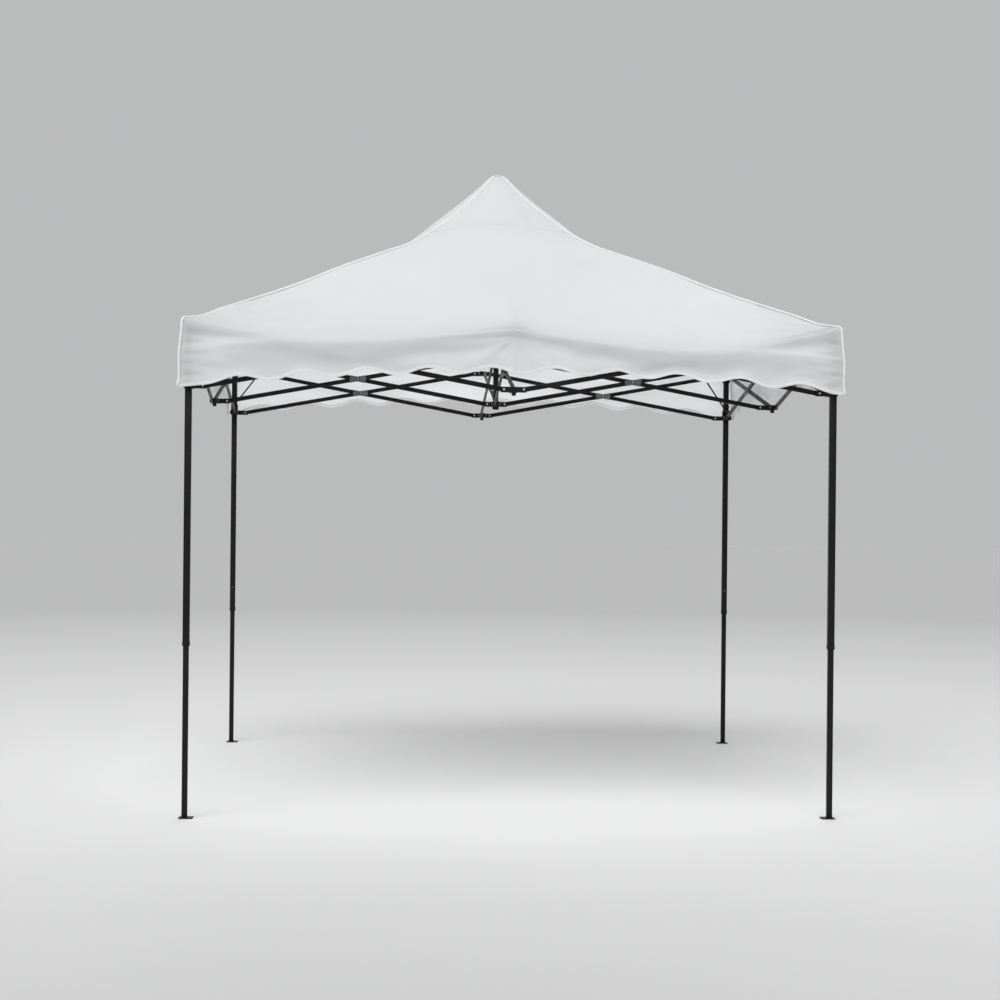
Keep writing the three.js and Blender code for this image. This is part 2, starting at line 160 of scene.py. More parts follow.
# ---------------------------------------------------------------- materials
WAVE_LENGTH = math.tau / 20  # of Blender's wave texture at scale 1
THREAD_PITCH, RIB_PITCH, STITCH_PITCH, WEBBING_PITCH = 0.0016, 0.0013, 0.0045, 0.002


def add_node(tree, kind, values=None, **settings):
    """A node with its settings; values are sockets to link or numbers to set."""
    made = tree.nodes.new(kind)
    for key, value in settings.items():
        setattr(made, key, value)
    for key, value in (values or {}).items():
        if isinstance(value, bpy.types.NodeSocket):
            tree.links.new(value, made.inputs[key])
        else:
            made.inputs[key].default_value = value
    return made


def new_material(name, **shader_values):
    material = bpy.data.materials.new(name)
    material.use_nodes = True
    tree = material.node_tree
    shader = tree.nodes["Principled BSDF"]
    for key, value in shader_values.items():
        shader.inputs[key.replace("_", " ")].default_value = value
    return material, tree, shader


def noise_of(tree, scale, detail=2.0):
    place = add_node(tree, "ShaderNodeTexCoord").outputs["Object"]
    values = {"Vector": place, "Scale": scale, "Detail": detail}
    return add_node(tree, "ShaderNodeTexNoise", values).outputs["Fac"]


def ribs_of(tree, pitch, direction="X", **more):
    """Parallel threads, ribs or stitches in the cloth's own coordinates, one for each pitch."""
    place = add_node(tree, "ShaderNodeUVMap", uv_map="cloth").outputs["UV"]
    values = {"Vector": place, "Scale": WAVE_LENGTH / pitch, **more}
    return add_node(tree, "ShaderNodeTexWave", values, bands_direction=direction).outputs["Fac"]


def between(tree, factor, low, high, out_low, out_high):
    values = {"Value": factor, "From Min": low, "From Max": high, "To Min": out_low, "To Max": out_high}
    return add_node(tree, "ShaderNodeMapRange", values).outputs["Result"]


def mixed_colour(tree, factor, first, second):
    mix = add_node(tree, "ShaderNodeMix", data_type="RGBA")
    for socket, value in ((mix.inputs[0], factor), (mix.inputs[6], first), (mix.inputs[7], second)):
        if isinstance(value, bpy.types.NodeSocket):
            tree.links.new(value, socket)
        else:
            socket.default_value = value
    return mix.outputs[2]


def grey(value, tint=0.0):
    return (value - tint, value, value + tint, 1)


def bump_of(tree, height, distance, strength=1.0, normal=None):
    values = {"Height": height, "Distance": distance, "Strength": strength}
    if normal:
        values["Normal"] = normal
    return add_node(tree, "ShaderNodeBump", values).outputs["Normal"]


def edge_mask(tree, radius):
    """1 along the sharp edges of a part, 0 on its faces."""
    rounded = add_node(tree, "ShaderNodeBevel", {"Radius": radius}, samples=4).outputs["Normal"]
    plain = add_node(tree, "ShaderNodeNewGeometry").outputs["Normal"]
    values = {0: rounded, 1: plain}
    likeness = add_node(tree, "ShaderNodeVectorMath", values, operation="DOT_PRODUCT").outputs["Value"]
    return between(tree, likeness, 0.97, 0.85, 0.0, 1.0)


def let_light_through(tree, shader, share, colour):
    """Thin cloth: a share of the light that falls on one face leaves from the other."""
    glow = add_node(tree, "ShaderNodeBsdfTranslucent", {"Color": colour}).outputs[0]
    thin = add_node(tree, "ShaderNodeMixShader", {0: share, 1: shader.outputs[0], 2: glow}).outputs[0]
    tree.links.new(thin, tree.nodes["Material Output"].inputs["Surface"])


def woven_fabric(name, light, dark, see_through):
    """Plain woven polyester: warp and weft, soft crinkle, changes of tone, and light coming through."""
    material, tree, shader = new_material(name, Roughness=0.82, Sheen_Weight=0.12, Sheen_Roughness=0.5)
    warp, weft = (ribs_of(tree, THREAD_PITCH, way, Distortion=0.4, Detail=1.0) for way in ("X", "Y"))
    weave = add_node(tree, "ShaderNodeMath", {0: warp, 1: weft}, operation="MULTIPLY").outputs[0]
    crinkle = noise_of(tree, 7.0, 4.0)
    tone = noise_of(tree, 1.7, 3.0)
    colour = mixed_colour(tree, between(tree, tone, 0.35, 0.65, 0, 1), light, dark)
    threaded = mixed_colour(tree, between(tree, weave, 0, 1, 0.06, 0), colour, grey(dark[1] * 0.8))
    tree.links.new(threaded, shader.inputs["Base Color"])
    soft = bump_of(tree, crinkle, 0.004, 0.35)
    tree.links.new(bump_of(tree, weave, 0.0002, 0.6, soft), shader.inputs["Normal"])
    let_light_through(tree, shader, see_through, threaded)
    return material


def ribbed_binding(name, light, dark):
    """Folded binding tape: fine ribs across it and a row of stitches along it."""
    material, tree, shader = new_material(name, Roughness=0.7, Sheen_Weight=0.2)
    ribs = ribs_of(tree, RIB_PITCH)
    stitches = ribs_of(tree, STITCH_PITCH)
    tree.links.new(mixed_colour(tree, noise_of(tree, 14.0), light, dark), shader.inputs["Base Color"])
    coarse = bump_of(tree, stitches, 0.0003, 0.4)
    tree.links.new(bump_of(tree, ribs, 0.00015, 0.6, coarse), shader.inputs["Normal"])
    let_light_through(tree, shader, 0.5, grey(0.95))
    return material


def powder_coat(name, base, edge_wear_and_highlight):
    """Powder coated steel: orange peel, cloudy gloss, and edges painted lighter, partly as rubbed paint and
    partly as painted highlight.
    """
    material, tree, shader = new_material(name, Specular_IOR_Level=0.2)
    cloud = noise_of(tree, 9.0, 4.0)
    # the edges are painted lighter: partly rubbed paint, partly a painted highlight along them
    edge_wear_and_highlight_mask = add_node(
        tree, "ShaderNodeMath",
        {0: edge_mask(tree, 0.0014), 1: between(tree, noise_of(tree, 38.0, 5.0), 0.42, 0.62, 0.1, 0.9)},
        operation="MULTIPLY",
    ).outputs[0]
    dusty = mixed_colour(tree, between(tree, cloud, 0.35, 0.7, 0, 1), base, grey(base[1] * 1.5))
    tree.links.new(mixed_colour(tree, edge_wear_and_highlight_mask, dusty, edge_wear_and_highlight), shader.inputs["Base Color"])
    tree.links.new(between(tree, cloud, 0.3, 0.7, 0.36, 0.52), shader.inputs["Roughness"])
    tree.links.new(bump_of(tree, noise_of(tree, 900.0, 2.0), 0.0001, 0.5), shader.inputs["Normal"])
    return material


def moulded_plastic(name, base, paler, roughness=0.55):
    """Moulded nylon: spark-eroded grain, and edges painted paler, partly as rubbing and partly as painted
    highlight.
    """
    material, tree, shader = new_material(name, Specular_IOR_Level=0.2)
    cloud = noise_of(tree, 22.0, 3.0)
    toned = mixed_colour(tree, between(tree, cloud, 0.3, 0.7, 0, 0.5), base, paler)
    # the edges are painted paler: partly rubbing, partly a painted highlight along them
    edged = mixed_colour(tree, between(tree, edge_mask(tree, 0.001), 0, 1, 0, 0.5), toned, paler)
    tree.links.new(edged, shader.inputs["Base Color"])
    rough = between(tree, cloud, 0.3, 0.7, roughness - 0.06, roughness + 0.08)
    tree.links.new(rough, shader.inputs["Roughness"])
    tree.links.new(bump_of(tree, noise_of(tree, 1400.0, 1.0), 0.0001, 0.5), shader.inputs["Normal"])
    return material


def zinc_plate(name):
    """Bright zinc on steel, slightly cloudy."""
    material, tree, shader = new_material(name, Metallic=0.9, Specular_IOR_Level=0.5)
    cloud = noise_of(tree, 160.0, 4.0)
    colour = mixed_colour(tree, between(tree, cloud, 0.35, 0.65, 0, 1), grey(0.62, 0.01), grey(0.42))
    tree.links.new(colour, shader.inputs["Base Color"])
    tree.links.new(between(tree, cloud, 0.3, 0.7, 0.26, 0.42), shader.inputs["Roughness"])
    return material


def webbing(name):
    """Flat woven strap with slanted ribs."""
    material, tree, shader = new_material(name, Roughness=0.8, Specular_IOR_Level=0.2)
    ribs = ribs_of(tree, WEBBING_PITCH, "DIAGONAL", Distortion=1.0)
    tree.links.new(mixed_colour(tree, ribs, grey(0.012), grey(0.03)), shader.inputs["Base Color"])
    tree.links.new(bump_of(tree, ribs, 0.0003, 0.8), shader.inputs["Normal"])
    return material


FABRIC = woven_fabric("white_polyester", grey(0.87, 0.004), grey(0.84, 0.003), see_through=0.52)
# the inside face of the cover: the same polyester painted lighter and letting more light through, to lift the
# shade under the roof
INSIDE_PAINTED_LIGHTER = woven_fabric("white_polyester_inside_painted_lighter", grey(0.92, 0.003), grey(0.89, 0.003), see_through=0.85)
BINDING = ribbed_binding("white_binding", grey(0.95), grey(0.92))
# grey: painted shade, the line of shade along the ring seam of the white cover
SEAM_PAINTED_SHADE = ribbed_binding("seam_painted_shade", grey(0.56), grey(0.50))
# the second grey is painted on the edges: rubbed paint and painted highlight
STEEL = powder_coat("black_powder_coat", grey(0.005), grey(0.05))
PLASTIC = moulded_plastic("black_nylon", grey(0.0045), grey(0.018))
GREY_PLASTIC = moulded_plastic("grey_nylon", grey(0.12), grey(0.19), 0.5)
ZINC = zinc_plate("zinc_plate")
WEBBING = webbing("black_webbing")


# ---------------------------------------------------------------- mesh helpers
SHARP_EDGE = math.radians(40)
STAND = Matrix.Rotation(-math.pi / 2, 4, "Y")  # turns a shape along X upright


def place_piece(name, mesh, body, replaces=(), matrix=None):
    """A piece that rides on a body, with its mesh's material."""
    piece = bpy.data.objects.new(name, mesh)
    bpy.context.scene.collection.objects.link(piece)
    if matrix is not None:
        piece.matrix_world = matrix
    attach(piece, body)
    if replaces:
        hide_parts(*replaces)
    return piece


def add_piece(name, shape, material, body, replaces=()):
    """A piece from (points, faces)."""
    return place_piece(name, make_mesh(name, shape, material), body, replaces)


def circle(radius, sides):
    return [(radius * math.cos(math.tau * i / sides), radius * math.sin(math.tau * i / sides))
            for i in range(sides)]


def rounded_rectangle(width, height, radius, steps=4):
    """Points of a rectangle with round corners, going round once."""
    points = []
    for k, (sx, sy) in enumerate(((1, 1), (-1, 1), (-1, -1), (1, -1))):
        cx, cy = sx * (width / 2 - radius), sy * (height / 2 - radius)
        for i in range(steps + 1):
            a = math.pi / 2 * (k + i / steps)
            points.append((cx + radius * math.cos(a), cy + radius * math.sin(a)))
    return points


def band(first, second, count):
    """Faces between two rings of points, given the number of each ring's first point."""
    return [(first + i, first + (i + 1) % count, second + (i + 1) % count, second + i) for i in range(count)]


def loft(rings, ends="closed"):
    """Points and faces through rings of equal size, with its ends "closed" or "joined" to each other."""
    count = len(rings[0])
    last = (len(rings) - 1) * count
    points = [p for ring in rings for p in ring]
    faces = [face for start in range(0, last, count) for face in band(start, start + count, count)]
    if ends == "joined":
        faces += band(last, 0, count)
    else:
        faces += [tuple(reversed(range(count))), tuple(range(last, last + count))]
    return points, faces


def ring_of(outline, along):
    """An outline in the YZ plane, at a place along X."""
    return [(along, y, z) for y, z in outline]


def hollow_tube(width, height, radius, wall, start, end):
    """A rectangular tube with round corners along X, its ends open and their rims closed."""
    ease = wall * 0.4
    outer = rounded_rectangle(width, height, radius)
    slim = rounded_rectangle(width - ease, height - ease, radius - ease / 2)
    inner = rounded_rectangle(width - 2 * wall, height - 2 * wall, max(radius - wall, 0.0004))
    rings = [ring_of(outline, start + along) for outline, along in ((inner, 0), (slim, 0), (outer, ease))]
    rings += [ring_of(outline, end - along) for outline, along in ((outer, ease), (slim, 0), (inner, 0))]
    return loft(rings, "joined")


def lathe(profile, sides=32):
    """A closed solid turned about X from (x, radius) points; the first and last lie on the axis."""
    points = [(profile[0][0], 0, 0)]
    rings = profile[1:-1]
    for x, radius in rings:
        points += ring_of(circle(radius, sides), x)
    points.append((profile[-1][0], 0, 0))
    end = len(points) - 1
    faces = []
    for i in range(sides):
        j = (i + 1) % sides
        faces.append((0, 1 + j, 1 + i))
        for r in range(len(rings) - 1):
            a, b = 1 + r * sides, 1 + (r + 1) * sides
            faces.append((a + i, a + j, b + j, b + i))
        base = 1 + (len(rings) - 1) * sides
        faces.append((base + i, base + j, end))
    return points, faces


def joined(parts):
    """One mesh from several (matrix, points, faces)."""
    all_points, all_faces = [], []
    for matrix, points, faces in parts:
        offset = len(all_points)
        all_points += [matrix @ Vector(p) for p in points]
        all_faces += [tuple(i + offset for i in face) for face in faces]
    return all_points, all_faces


def moved(matrix, shape):
    return joined([(matrix, *shape)])


def make_mesh(name, shape, material):
    points, faces = shape
    mesh = bpy.data.meshes.new(name)
    mesh.from_pydata([tuple(p) for p in points], [], faces)
    mesh.materials.append(material)
    for face in mesh.polygons:
        face.use_smooth = True
    mesh.set_sharp_from_angle(angle=SHARP_EDGE)
    return mesh


def pointing(direction, at=(0, 0, 0)):
    """A frame at a place with its X axis along a level or slanted direction and its Z axis near up."""
    x = Vector(direction).normalized()
    y = Vector((0, 0, 1)).cross(x).normalized()
    return Matrix.Translation(at) @ Matrix((x, y, x.cross(y))).transposed().to_4x4()


def side_turn(side):
    return Matrix.Rotation(math.pi / 2 * SIDES.index(side), 4, "Z")


def side_axes(side):
    """The turn of a side, and its directions along the side and out of it."""
    turn = side_turn(side)
    return turn, turn.to_3x3() @ Vector((0, 1, 0)), turn.to_3x3() @ Vector((1, 0, 0))


# ---------------------------------------------------------------- cover: shape
def smooth_step(x, low, high):
    t = np.clip((x - low) / (high - low), 0, 1)
    return t * t * (3 - 2 * t)


def smooth_curve(knots):
    """A curve through the knots that doesn't overshoot them."""
    xs, ys = (np.array(v, float) for v in zip(*knots))
    slopes = np.diff(ys) / np.diff(xs)
    tangents = np.concatenate([[slopes[0]], (slopes[:-1] + slopes[1:]) / 2, [slopes[-1]]])
    tangents[1:-1] = np.where(slopes[:-1] * slopes[1:] > 0, tangents[1:-1], 0)

    def curve(x):
        x = np.clip(x, xs[0], xs[-1])
        i = np.clip(np.searchsorted(xs, x, side="right") - 1, 0, len(xs) - 2)
        h = xs[i + 1] - xs[i]
        t = (x - xs[i]) / h
        return (
            ys[i] * (1 + 2 * t) * (1 - t) ** 2 + ys[i + 1] * t * t * (3 - 2 * t)
            + tangents[i] * h * t * (1 - t) ** 2 + tangents[i + 1] * h * t * t * (t - 1)
        )

    return curve


hip_height = smooth_curve(HIP_PROFILE)


def soft_noise(seed, wavelength, count=7):
    """A smooth random field over two lengths, about -1 to 1."""
    draw = random.Random(seed)
    waves = []
    for _ in range(count):
        a = draw.uniform(0, math.tau)
        k = math.tau / (wavelength * draw.uniform(0.6, 1.6))
        waves.append((k * math.cos(a), k * math.sin(a), draw.uniform(0, math.tau)))

    def field(p, q):
        return sum(np.sin(kp * p + kq * q + phase) for kp, kq, phase in waves) / math.sqrt(count)

    return field


def eave_height(side, u):
    """Height of the eave: a peak in the middle, a slack stretch, then tight up to the corner."""
    a = np.abs(u)
    sag = np.where(u < 0, *EAVE_SAG[side])
    low = EAVE_MIDDLE_Z - sag
    inner = EAVE_MIDDLE_Z - sag * np.sin(np.pi / 2 * np.clip(a / EAVE_LOW_AT, 0, 1))
    rise = np.clip((a - EAVE_LOW_AT) / (1 - EAVE_LOW_AT), 0, 1) ** 1.2
    return np.where(a < EAVE_LOW_AT, inner, low + (EAVE_CORNER_Z - low) * rise)


def eave_radius(u):
    """Rounding of the eave: fairly crisp over the frame's points, a soft roll between them."""
    a = np.abs(u)
    return 0.014 + 0.024 * np.sin(np.pi * a) ** 1.3 + 0.010 * smooth_step(a, 0.9, 1.0)


def hem_height(u):
    a = np.abs(u - SCALLOP_SHIFT)
    wave = np.where(a < 5 * SCALLOP, np.cos(math.tau * (a / SCALLOP - 0.5)), -1)
    return HEM_MIDDLE_Z - HEM_CORNER_DROP * u * u + SCALLOP_HEIGHT * wave


EAVE_SLOPE = math.radians(27)  # of the roof at the eave
INWARD_LIMIT, INWARD_EASE = 0.002, 0.0012  # the valance goes in no further than the frame's rivets allow
GORE_HEIGHT = 1.7  # of a gore laid flat
# heights of the folds: on the roof, and then on the valance
ROOF_WAVES, ROOF_RIPPLES, HIP_STREAKS, GORE_CREASE = 0.0032, 0.0012, 0.0013, 0.0030
CORNER_FLARE, FACET_HOLLOW, FAN_FOLDS, SEAM_CREASES, LOOSE_FOLDS = 0.012, 0.007, 0.0050, 0.0024, 0.0030


def ridge_height(side, u):
    """The tight fold: it is the eave out to its lowest place, and runs on down to the corner seam."""
    a = np.abs(u)
    low = EAVE_MIDDLE_Z - np.where(u < 0, *EAVE_SAG[side])
    share = np.clip((a - EAVE_LOW_AT) / (1 - EAVE_LOW_AT), 0, 1)
    beyond = low + (EAVE_CORNER_Z - RIDGE_DROP - low) * share
    return np.where(a < EAVE_LOW_AT, eave_height(side, u), beyond)


def face_distance(u):
    """The valance's distance from the centre: it bellies out a little between the frame's points."""
    return COVER_HALF + 0.005 + 0.004 * np.sin(np.pi * np.abs(u)) ** 2


def rays(angle, reach, waves, start, fade):
    """Folds that fan out from a point, each wave a (count per radian, phase, height)."""
    total = sum(height * np.sin(count * angle + phase) for count, phase, height in waves)
    return total * smooth_step(reach, start, start + 0.12) * np.exp(-reach / fade)


def roof_wrinkles(side, share, u):
    """Height of the folds over the smooth roof."""
    seed = SIDES.index(side)
    along = COVER_HALF * share * u
    up = (1 - share) * GORE_HEIGHT
    total = ROOF_WAVES * soft_noise(40 + seed, 0.55)(along, up) * smooth_step(share, 0.2, 0.6)
    total = total + ROOF_RIPPLES * soft_noise(50 + seed, 0.2)(along, up) * smooth_step(share, 0.55, 0.95)
    for sign in (-1, 1):
        across = COVER_HALF * (1 - sign * u) * share
        reach = np.hypot(across, up)
        waves = ((13, seed + sign, 0.0036), (23, 2 * seed, 0.0022), (37, seed, 0.0012))
        total = total + rays(np.arctan2(up, across + 1e-6), reach, waves, 0.02, 0.6)
        # streaks that leave the hips where the roof turns up to the peak
        from_hip = np.abs(along - sign * COVER_HALF * share)
        streak = np.sin(math.tau * (share + 0.18 * from_hip) / 0.037 + seed + sign)
        kept = np.exp(-(((share - 0.40) / 0.1) ** 2)) * np.exp(-from_hip / 0.22)
        total = total + HIP_STREAKS * streak * kept * smooth_step(from_hip, 0.0, 0.03)
    middle_reach = np.hypot(along, up)
    middle_angle = np.arctan2(up, np.abs(along) + 1e-6)
    total = total + rays(middle_angle, middle_reach, ((15, seed, 0.0018),), 0.02, 0.25)
    spread = u * math.pi / 4
    tip = (0.0013 * np.sin(17 * spread + seed) + 0.0008 * np.sin(29 * spread + 2 * seed)) * (
        smooth_step(share, 0.03, 0.12) * (1 - smooth_step(share, 0.3, 0.5)))
    # the crease where the gore was folded, just under the ring seam
    crease = GORE_CREASE * np.exp(-np.abs(along + 0.02) / 0.012) * smooth_step(share, 0.24, 0.26) * (
        1 - smooth_step(share, 0.30, 0.39))
    hold = 1 - smooth_step(np.abs(u), 0.985, 1.0)
    return (total + tip + crease) * hold


def valance_wrinkles(side, u, z):
    """How far the valance's folds stand out."""
    seed = SIDES.index(side)
    a = np.abs(u)
    eave = eave_height(side, u)
    hem = hem_height(u)
    ridge = ridge_height(side, u)
    down = np.clip((eave - z) / (eave - hem), 0, 1)
    along = COVER_HALF * u
    total = CORNER_FLARE * smooth_step(a, 0.72, 1.0) * down
    # out at the tight fold, in under it, and out again to the hem, with a crease that runs to the middle
    below = np.clip((ridge - z) / (ridge - hem), 0, 1)
    facet = eave - ridge
    over = np.clip((z - ridge) / np.maximum(facet, 0.004), 0, 1)
    stand = RIDGE_OUT * (0.1 + 0.9 * smooth_step(a, 0.0, 0.3)) * (1 - 0.75 * smooth_step(a, 0.78, 1.0))
    recess = 1 - smooth_step(facet, 0.0, 0.12) * (1 - (1 - over) ** 2)
    hollow = FACET_HOLLOW * np.sin(np.pi * over**0.8) * smooth_step(facet, 0.006, 0.05)
    hollow = hollow * (1 - smooth_step(a, 0.95, 1.0))
    fan_share = 1 - smooth_step(a, 0.34, 0.62)
    for weight, valley in ((fan_share, 0.27 + 1.4 * np.minimum(a, 0.5)), (1 - fan_share, 0.8)):
        roll = 0.5 + 0.5 * np.cos(np.pi * np.minimum(below / valley, 1))
        total = total + weight * (stand * roll * recess + HEM_FLARE * np.maximum(below - valley, 0))
    total = total - hollow
    # folds that fan out from under the tight middle of the side
    drop = EAVE_MIDDLE_Z - FAN_DROP - z
    fan_angle = np.arctan2(along, drop)
    fan_reach = np.hypot(along, drop)
    fan = 2 / np.pi * np.arcsin(np.sin(6.5 * fan_angle + 0.7 * seed)) + 0.5 * np.sin(15 * fan_angle + seed)
    fan = fan * smooth_step(fan_reach, 0.01, 0.08) * smooth_step(drop, -0.02, 0.02)
    total = total + FAN_FOLDS * fan * np.exp(-fan_reach / 0.30)
    # short creases off the corner seams
    for sign in (-1, 1):
        off = COVER_HALF * (1 - sign * u)
        crease = np.sin(math.tau * (z + 0.10 * off) / 0.047 + seed * 1.9 + sign)
        crease = crease + 0.7 * np.sin(math.tau * (z - 0.16 * off) / 0.029 + seed + 2.2 * sign)
        total = total + SEAM_CREASES * crease * np.exp(-off / 0.10) * smooth_step(off, 0.0, 0.02)
    loose = soft_noise(60 + seed, 0.42)(along, 0.6 * z) + 0.5 * soft_noise(70 + seed, 0.16)(along, 2.4 * z)
    total = total + LOOSE_FOLDS * loose * smooth_step(down, 0.0, 0.4) * (1 - smooth_step(a, 0.9, 1.0))
    return np.logaddexp(0, (total + INWARD_LIMIT) / INWARD_EASE) * INWARD_EASE - INWARD_LIMIT


def roof_point(side, share, u, reach_end, wrinkled):
    """A point of the roof: square at the eave, round at the peak."""
    cone = 1 - smooth_step(share, CONE_START, CONE_END)
    reach = share * (reach_end * share + ROOF_HALF * (1 - share))
    angle = u * np.pi / 4
    x = reach * (1 - cone + cone * CONE_FACTOR * np.cos(angle))
    y = reach * (u * (1 - cone) + cone * CONE_FACTOR * np.sin(angle))
    z = hip_height(share) - (EAVE_CORNER_Z - eave_height(side, u)) * share**3
    z = z - 0.012 * np.sin(np.pi * share) * (1 - u * u)
    levelling = np.exp(-(((share - CORNER_DIP_AT) / CORNER_DIP_LENGTH) ** 2))
    z = z - CORNER_DIP * levelling * smooth_step(np.abs(u), 0.8, 1.0)
    if wrinkled:
        z = z + roof_wrinkles(side, share, u)
    return np.stack([x, y, z], -1)


def cover_grid(side, u, wrinkled=True):
    """Points of one side from the peak to the hem, in the side's own frame: rows x columns x 3."""
    eave = eave_height(side, u)
    radius = eave_radius(u)
    face = face_distance(u)
    centre_z = eave - radius * math.cos(EAVE_SLOPE)

    def out_at(z):
        return face + (valance_wrinkles(side, u, z) if wrinkled else 0)

    reach_end = out_at(eave) - radius * (1 - math.sin(EAVE_SLOPE))
    rows = [roof_point(side, np.full_like(u, share), u, reach_end, wrinkled) for share in ROOF_SHARES]
    for i in range(1, SHOULDER_ROWS + 1):
        turn = EAVE_SLOPE + (math.pi / 2 - EAVE_SLOPE) * i / SHOULDER_ROWS
        z = centre_z + radius * math.cos(turn)
        x = out_at(z) - radius + radius * math.sin(turn)
        rows.append(np.stack([x, x * u, z], -1))
    hem = hem_height(u)
    for i in range(1, VALANCE_ROWS + 1):
        z = centre_z + (hem - centre_z) * i / VALANCE_ROWS
        x = out_at(z)
        rows.append(np.stack([x, x * u, z], -1))
    return np.array(rows)


def column_places(count, last=False):
    """Places along a side, -1 to 1, closer together near its middle and its corners."""
    even = np.linspace(-1, 1, count + 1)
    places = even - CROWDING * np.sin(math.tau * even) / math.tau
    return places if last else places[:-1]


ROOF_SHARES = [(i / ROOF_ROWS) ** 1.15 for i in range(1, ROOF_ROWS + 1)]
TOTAL_ROWS = ROOF_ROWS + SHOULDER_ROWS + VALANCE_ROWS
# row of the grid -> 0 to 1 down the roof, 1 to 2 down the valance
DOWN = ROOF_SHARES + [1 + 0.08 * i / SHOULDER_ROWS for i in range(1, SHOULDER_ROWS + 1)] + [
    1.08 + 0.92 * i / VALANCE_ROWS for i in range(1, VALANCE_ROWS + 1)
]

# ---------------------------------------------------------------- cover: folded
FOLDED_LEG = LEG - FOLD_TRAVEL
PLEATS = 11  # on each side
# how the fabric hangs once the frame is folded: 0 to 1 down the roof and 1 to 2 down the valance
FOLDED_HALF = smooth_curve(((0, 0.0), (0.02, 0.03), (0.18, 0.262), (0.22, FOLDED_LEG + 0.034),
                            (0.59, FOLDED_LEG + 0.042), (0.64, FOLDED_LEG + 0.062), (1, FOLDED_LEG + 0.066),
                            (1.1, FOLDED_LEG + 0.078), (2, FOLDED_LEG + 0.092)))
FOLDED_Z = smooth_curve(((0, 2.268), (0.02, 2.263), (0.18, 2.234), (0.22, 2.208), (0.56, 1.60), (0.6, 1.578),
                         (0.64, 1.60), (0.97, 2.20), (1.02, 2.216), (1.1, 2.196), (2, 1.985)))
PLEAT_DEPTH = smooth_curve(((0, 0), (0.18, 0.006), (0.59, 0.070), (1, 0.105), (2, 0.118)))


def folded_points(side, u, down):
    """Where a point of the cover is once the frame is folded, in the side's own frame."""
    seed = SIDES.index(side)
    down = np.broadcast_to(np.asarray(down, float), u.shape)
    half = FOLDED_HALF(down)
    phase = np.pi * PLEATS * (u + 1) + 0.5 * np.sin(3 * np.pi * u + seed) * (1 - u * u)
    depth = PLEAT_DEPTH(down) * (1 + 0.16 * np.sin(5.3 * u + 1.7 * seed + 2 * down))
    stand = depth * (0.5 - 0.5 * np.cos(phase)) * smooth_step(1 - np.abs(u), 0.0, 0.05)
    lean = 0.012 * np.sin(phase) * smooth_step(down, 0.2, 0.6) * (1 - np.abs(u))
    z = FOLDED_Z(down) + 0.018 * np.sin(7 * u + 2 * seed) * smooth_step(down, 0.3, 0.6) * (
        1 - smooth_step(down, 0.65, 0.95))
    z = z - 0.02 * smooth_step(down, 1.3, 2) * np.cos(phase)
    return np.stack([half + stand, half * u + lean, z], -1)


def turned_by(side, points):
    cos, sin = ((1, 0), (0, 1), (-1, 0), (0, -1))[SIDES.index(side)]
    x, y, z = np.moveaxis(points, -1, 0)
    return np.stack([x * cos - y * sin, x * sin + y * cos, z], -1)


def all_round(points_of, axis=0):
    """The points of each side, turned into place and joined one after another."""
    return np.concatenate([turned_by(side, points_of(side)) for side in SIDES], axis)


def fold_group():
    """Moves each point from where it is at rest to its `folded` place as the legs come together."""
    group = bpy.data.node_groups.new("fold_with_frame", "GeometryNodeTree")
    for direction in ("INPUT", "OUTPUT"):
        group.interface.new_socket("Geometry", in_out=direction, socket_type="NodeSocketGeometry")
    start = add_node(group, "NodeGroupInput").outputs["Geometry"]
    leg = add_node(group, "GeometryNodeObjectInfo", {"Object": frame["bodies"]["front_right_leg"]})
    place = add_node(group, "ShaderNodeSeparateXYZ", {0: leg.outputs["Location"]})
    share = between(group, place.outputs["X"], 0.0, -FOLD_TRAVEL, 0.0, 1.0)
    folded = add_node(group, "GeometryNodeInputNamedAttribute", {"Name": "folded"}, data_type="FLOAT_VECTOR")
    rest = add_node(group, "GeometryNodeInputPosition").outputs["Position"]
    mix = add_node(group, "ShaderNodeMix", data_type="VECTOR")
    group.links.new(share, mix.inputs[0])
    group.links.new(rest, mix.inputs[4])
    group.links.new(folded.outputs["Attribute"], mix.inputs[5])
    moved = add_node(group, "GeometryNodeSetPosition", {"Geometry": start, "Position": mix.outputs[1]})
    end = add_node(group, "NodeGroupOutput")
    group.links.new(moved.outputs["Geometry"], end.inputs["Geometry"])
    return group


FOLD_GROUP = fold_group()


def folding_piece(name, rest, folded, faces, cloth_uv, material, thickness=0.0, replaces=()):
    """A piece of the cover: rest and folded places of its points, and a UV for each corner of a face."""
    mesh = bpy.data.meshes.new(name)
    mesh.from_pydata([tuple(p) for p in rest], [], faces)
    mesh.materials.append(material)
    mesh.polygons.foreach_set("use_smooth", np.ones(len(faces), bool))
    target = mesh.attributes.new("folded", "FLOAT_VECTOR", "POINT")
    target.data.foreach_set("vector", np.asarray(folded, np.float32).ravel())
    layer = mesh.uv_layers.new(name="cloth")
    layer.data.foreach_set("uv", np.asarray(cloth_uv, np.float32).ravel())
    piece = place_piece(name, mesh, COVER_BODY, replaces)
    modifier = piece.modifiers.new("fold", "NODES")
    modifier.node_group = FOLD_GROUP
    if thickness:
        # the inside face gets the fabric painted lighter, as light in the shade under the roof
        mesh.materials.append(INSIDE_PAINTED_LIGHTER)
        solid = piece.modifiers.new("thickness", "SOLIDIFY")
        solid.thickness = thickness
        solid.offset = -1
        solid.material_offset = 1
    return piece


def cover_faces():
    """Faces of the sheet: point 0 is the tip, then come the rows."""
    columns = 4 * COLUMNS
    faces = []
    for c in range(columns):
        n = (c + 1) % columns
        faces.append((0, 1 + c, 1 + n))
        for r in range(1, TOTAL_ROWS):
            a, b = 1 + (r - 1) * columns, 1 + r * columns
            faces.append((a + c, b + c, b + n, a + n))
    return faces


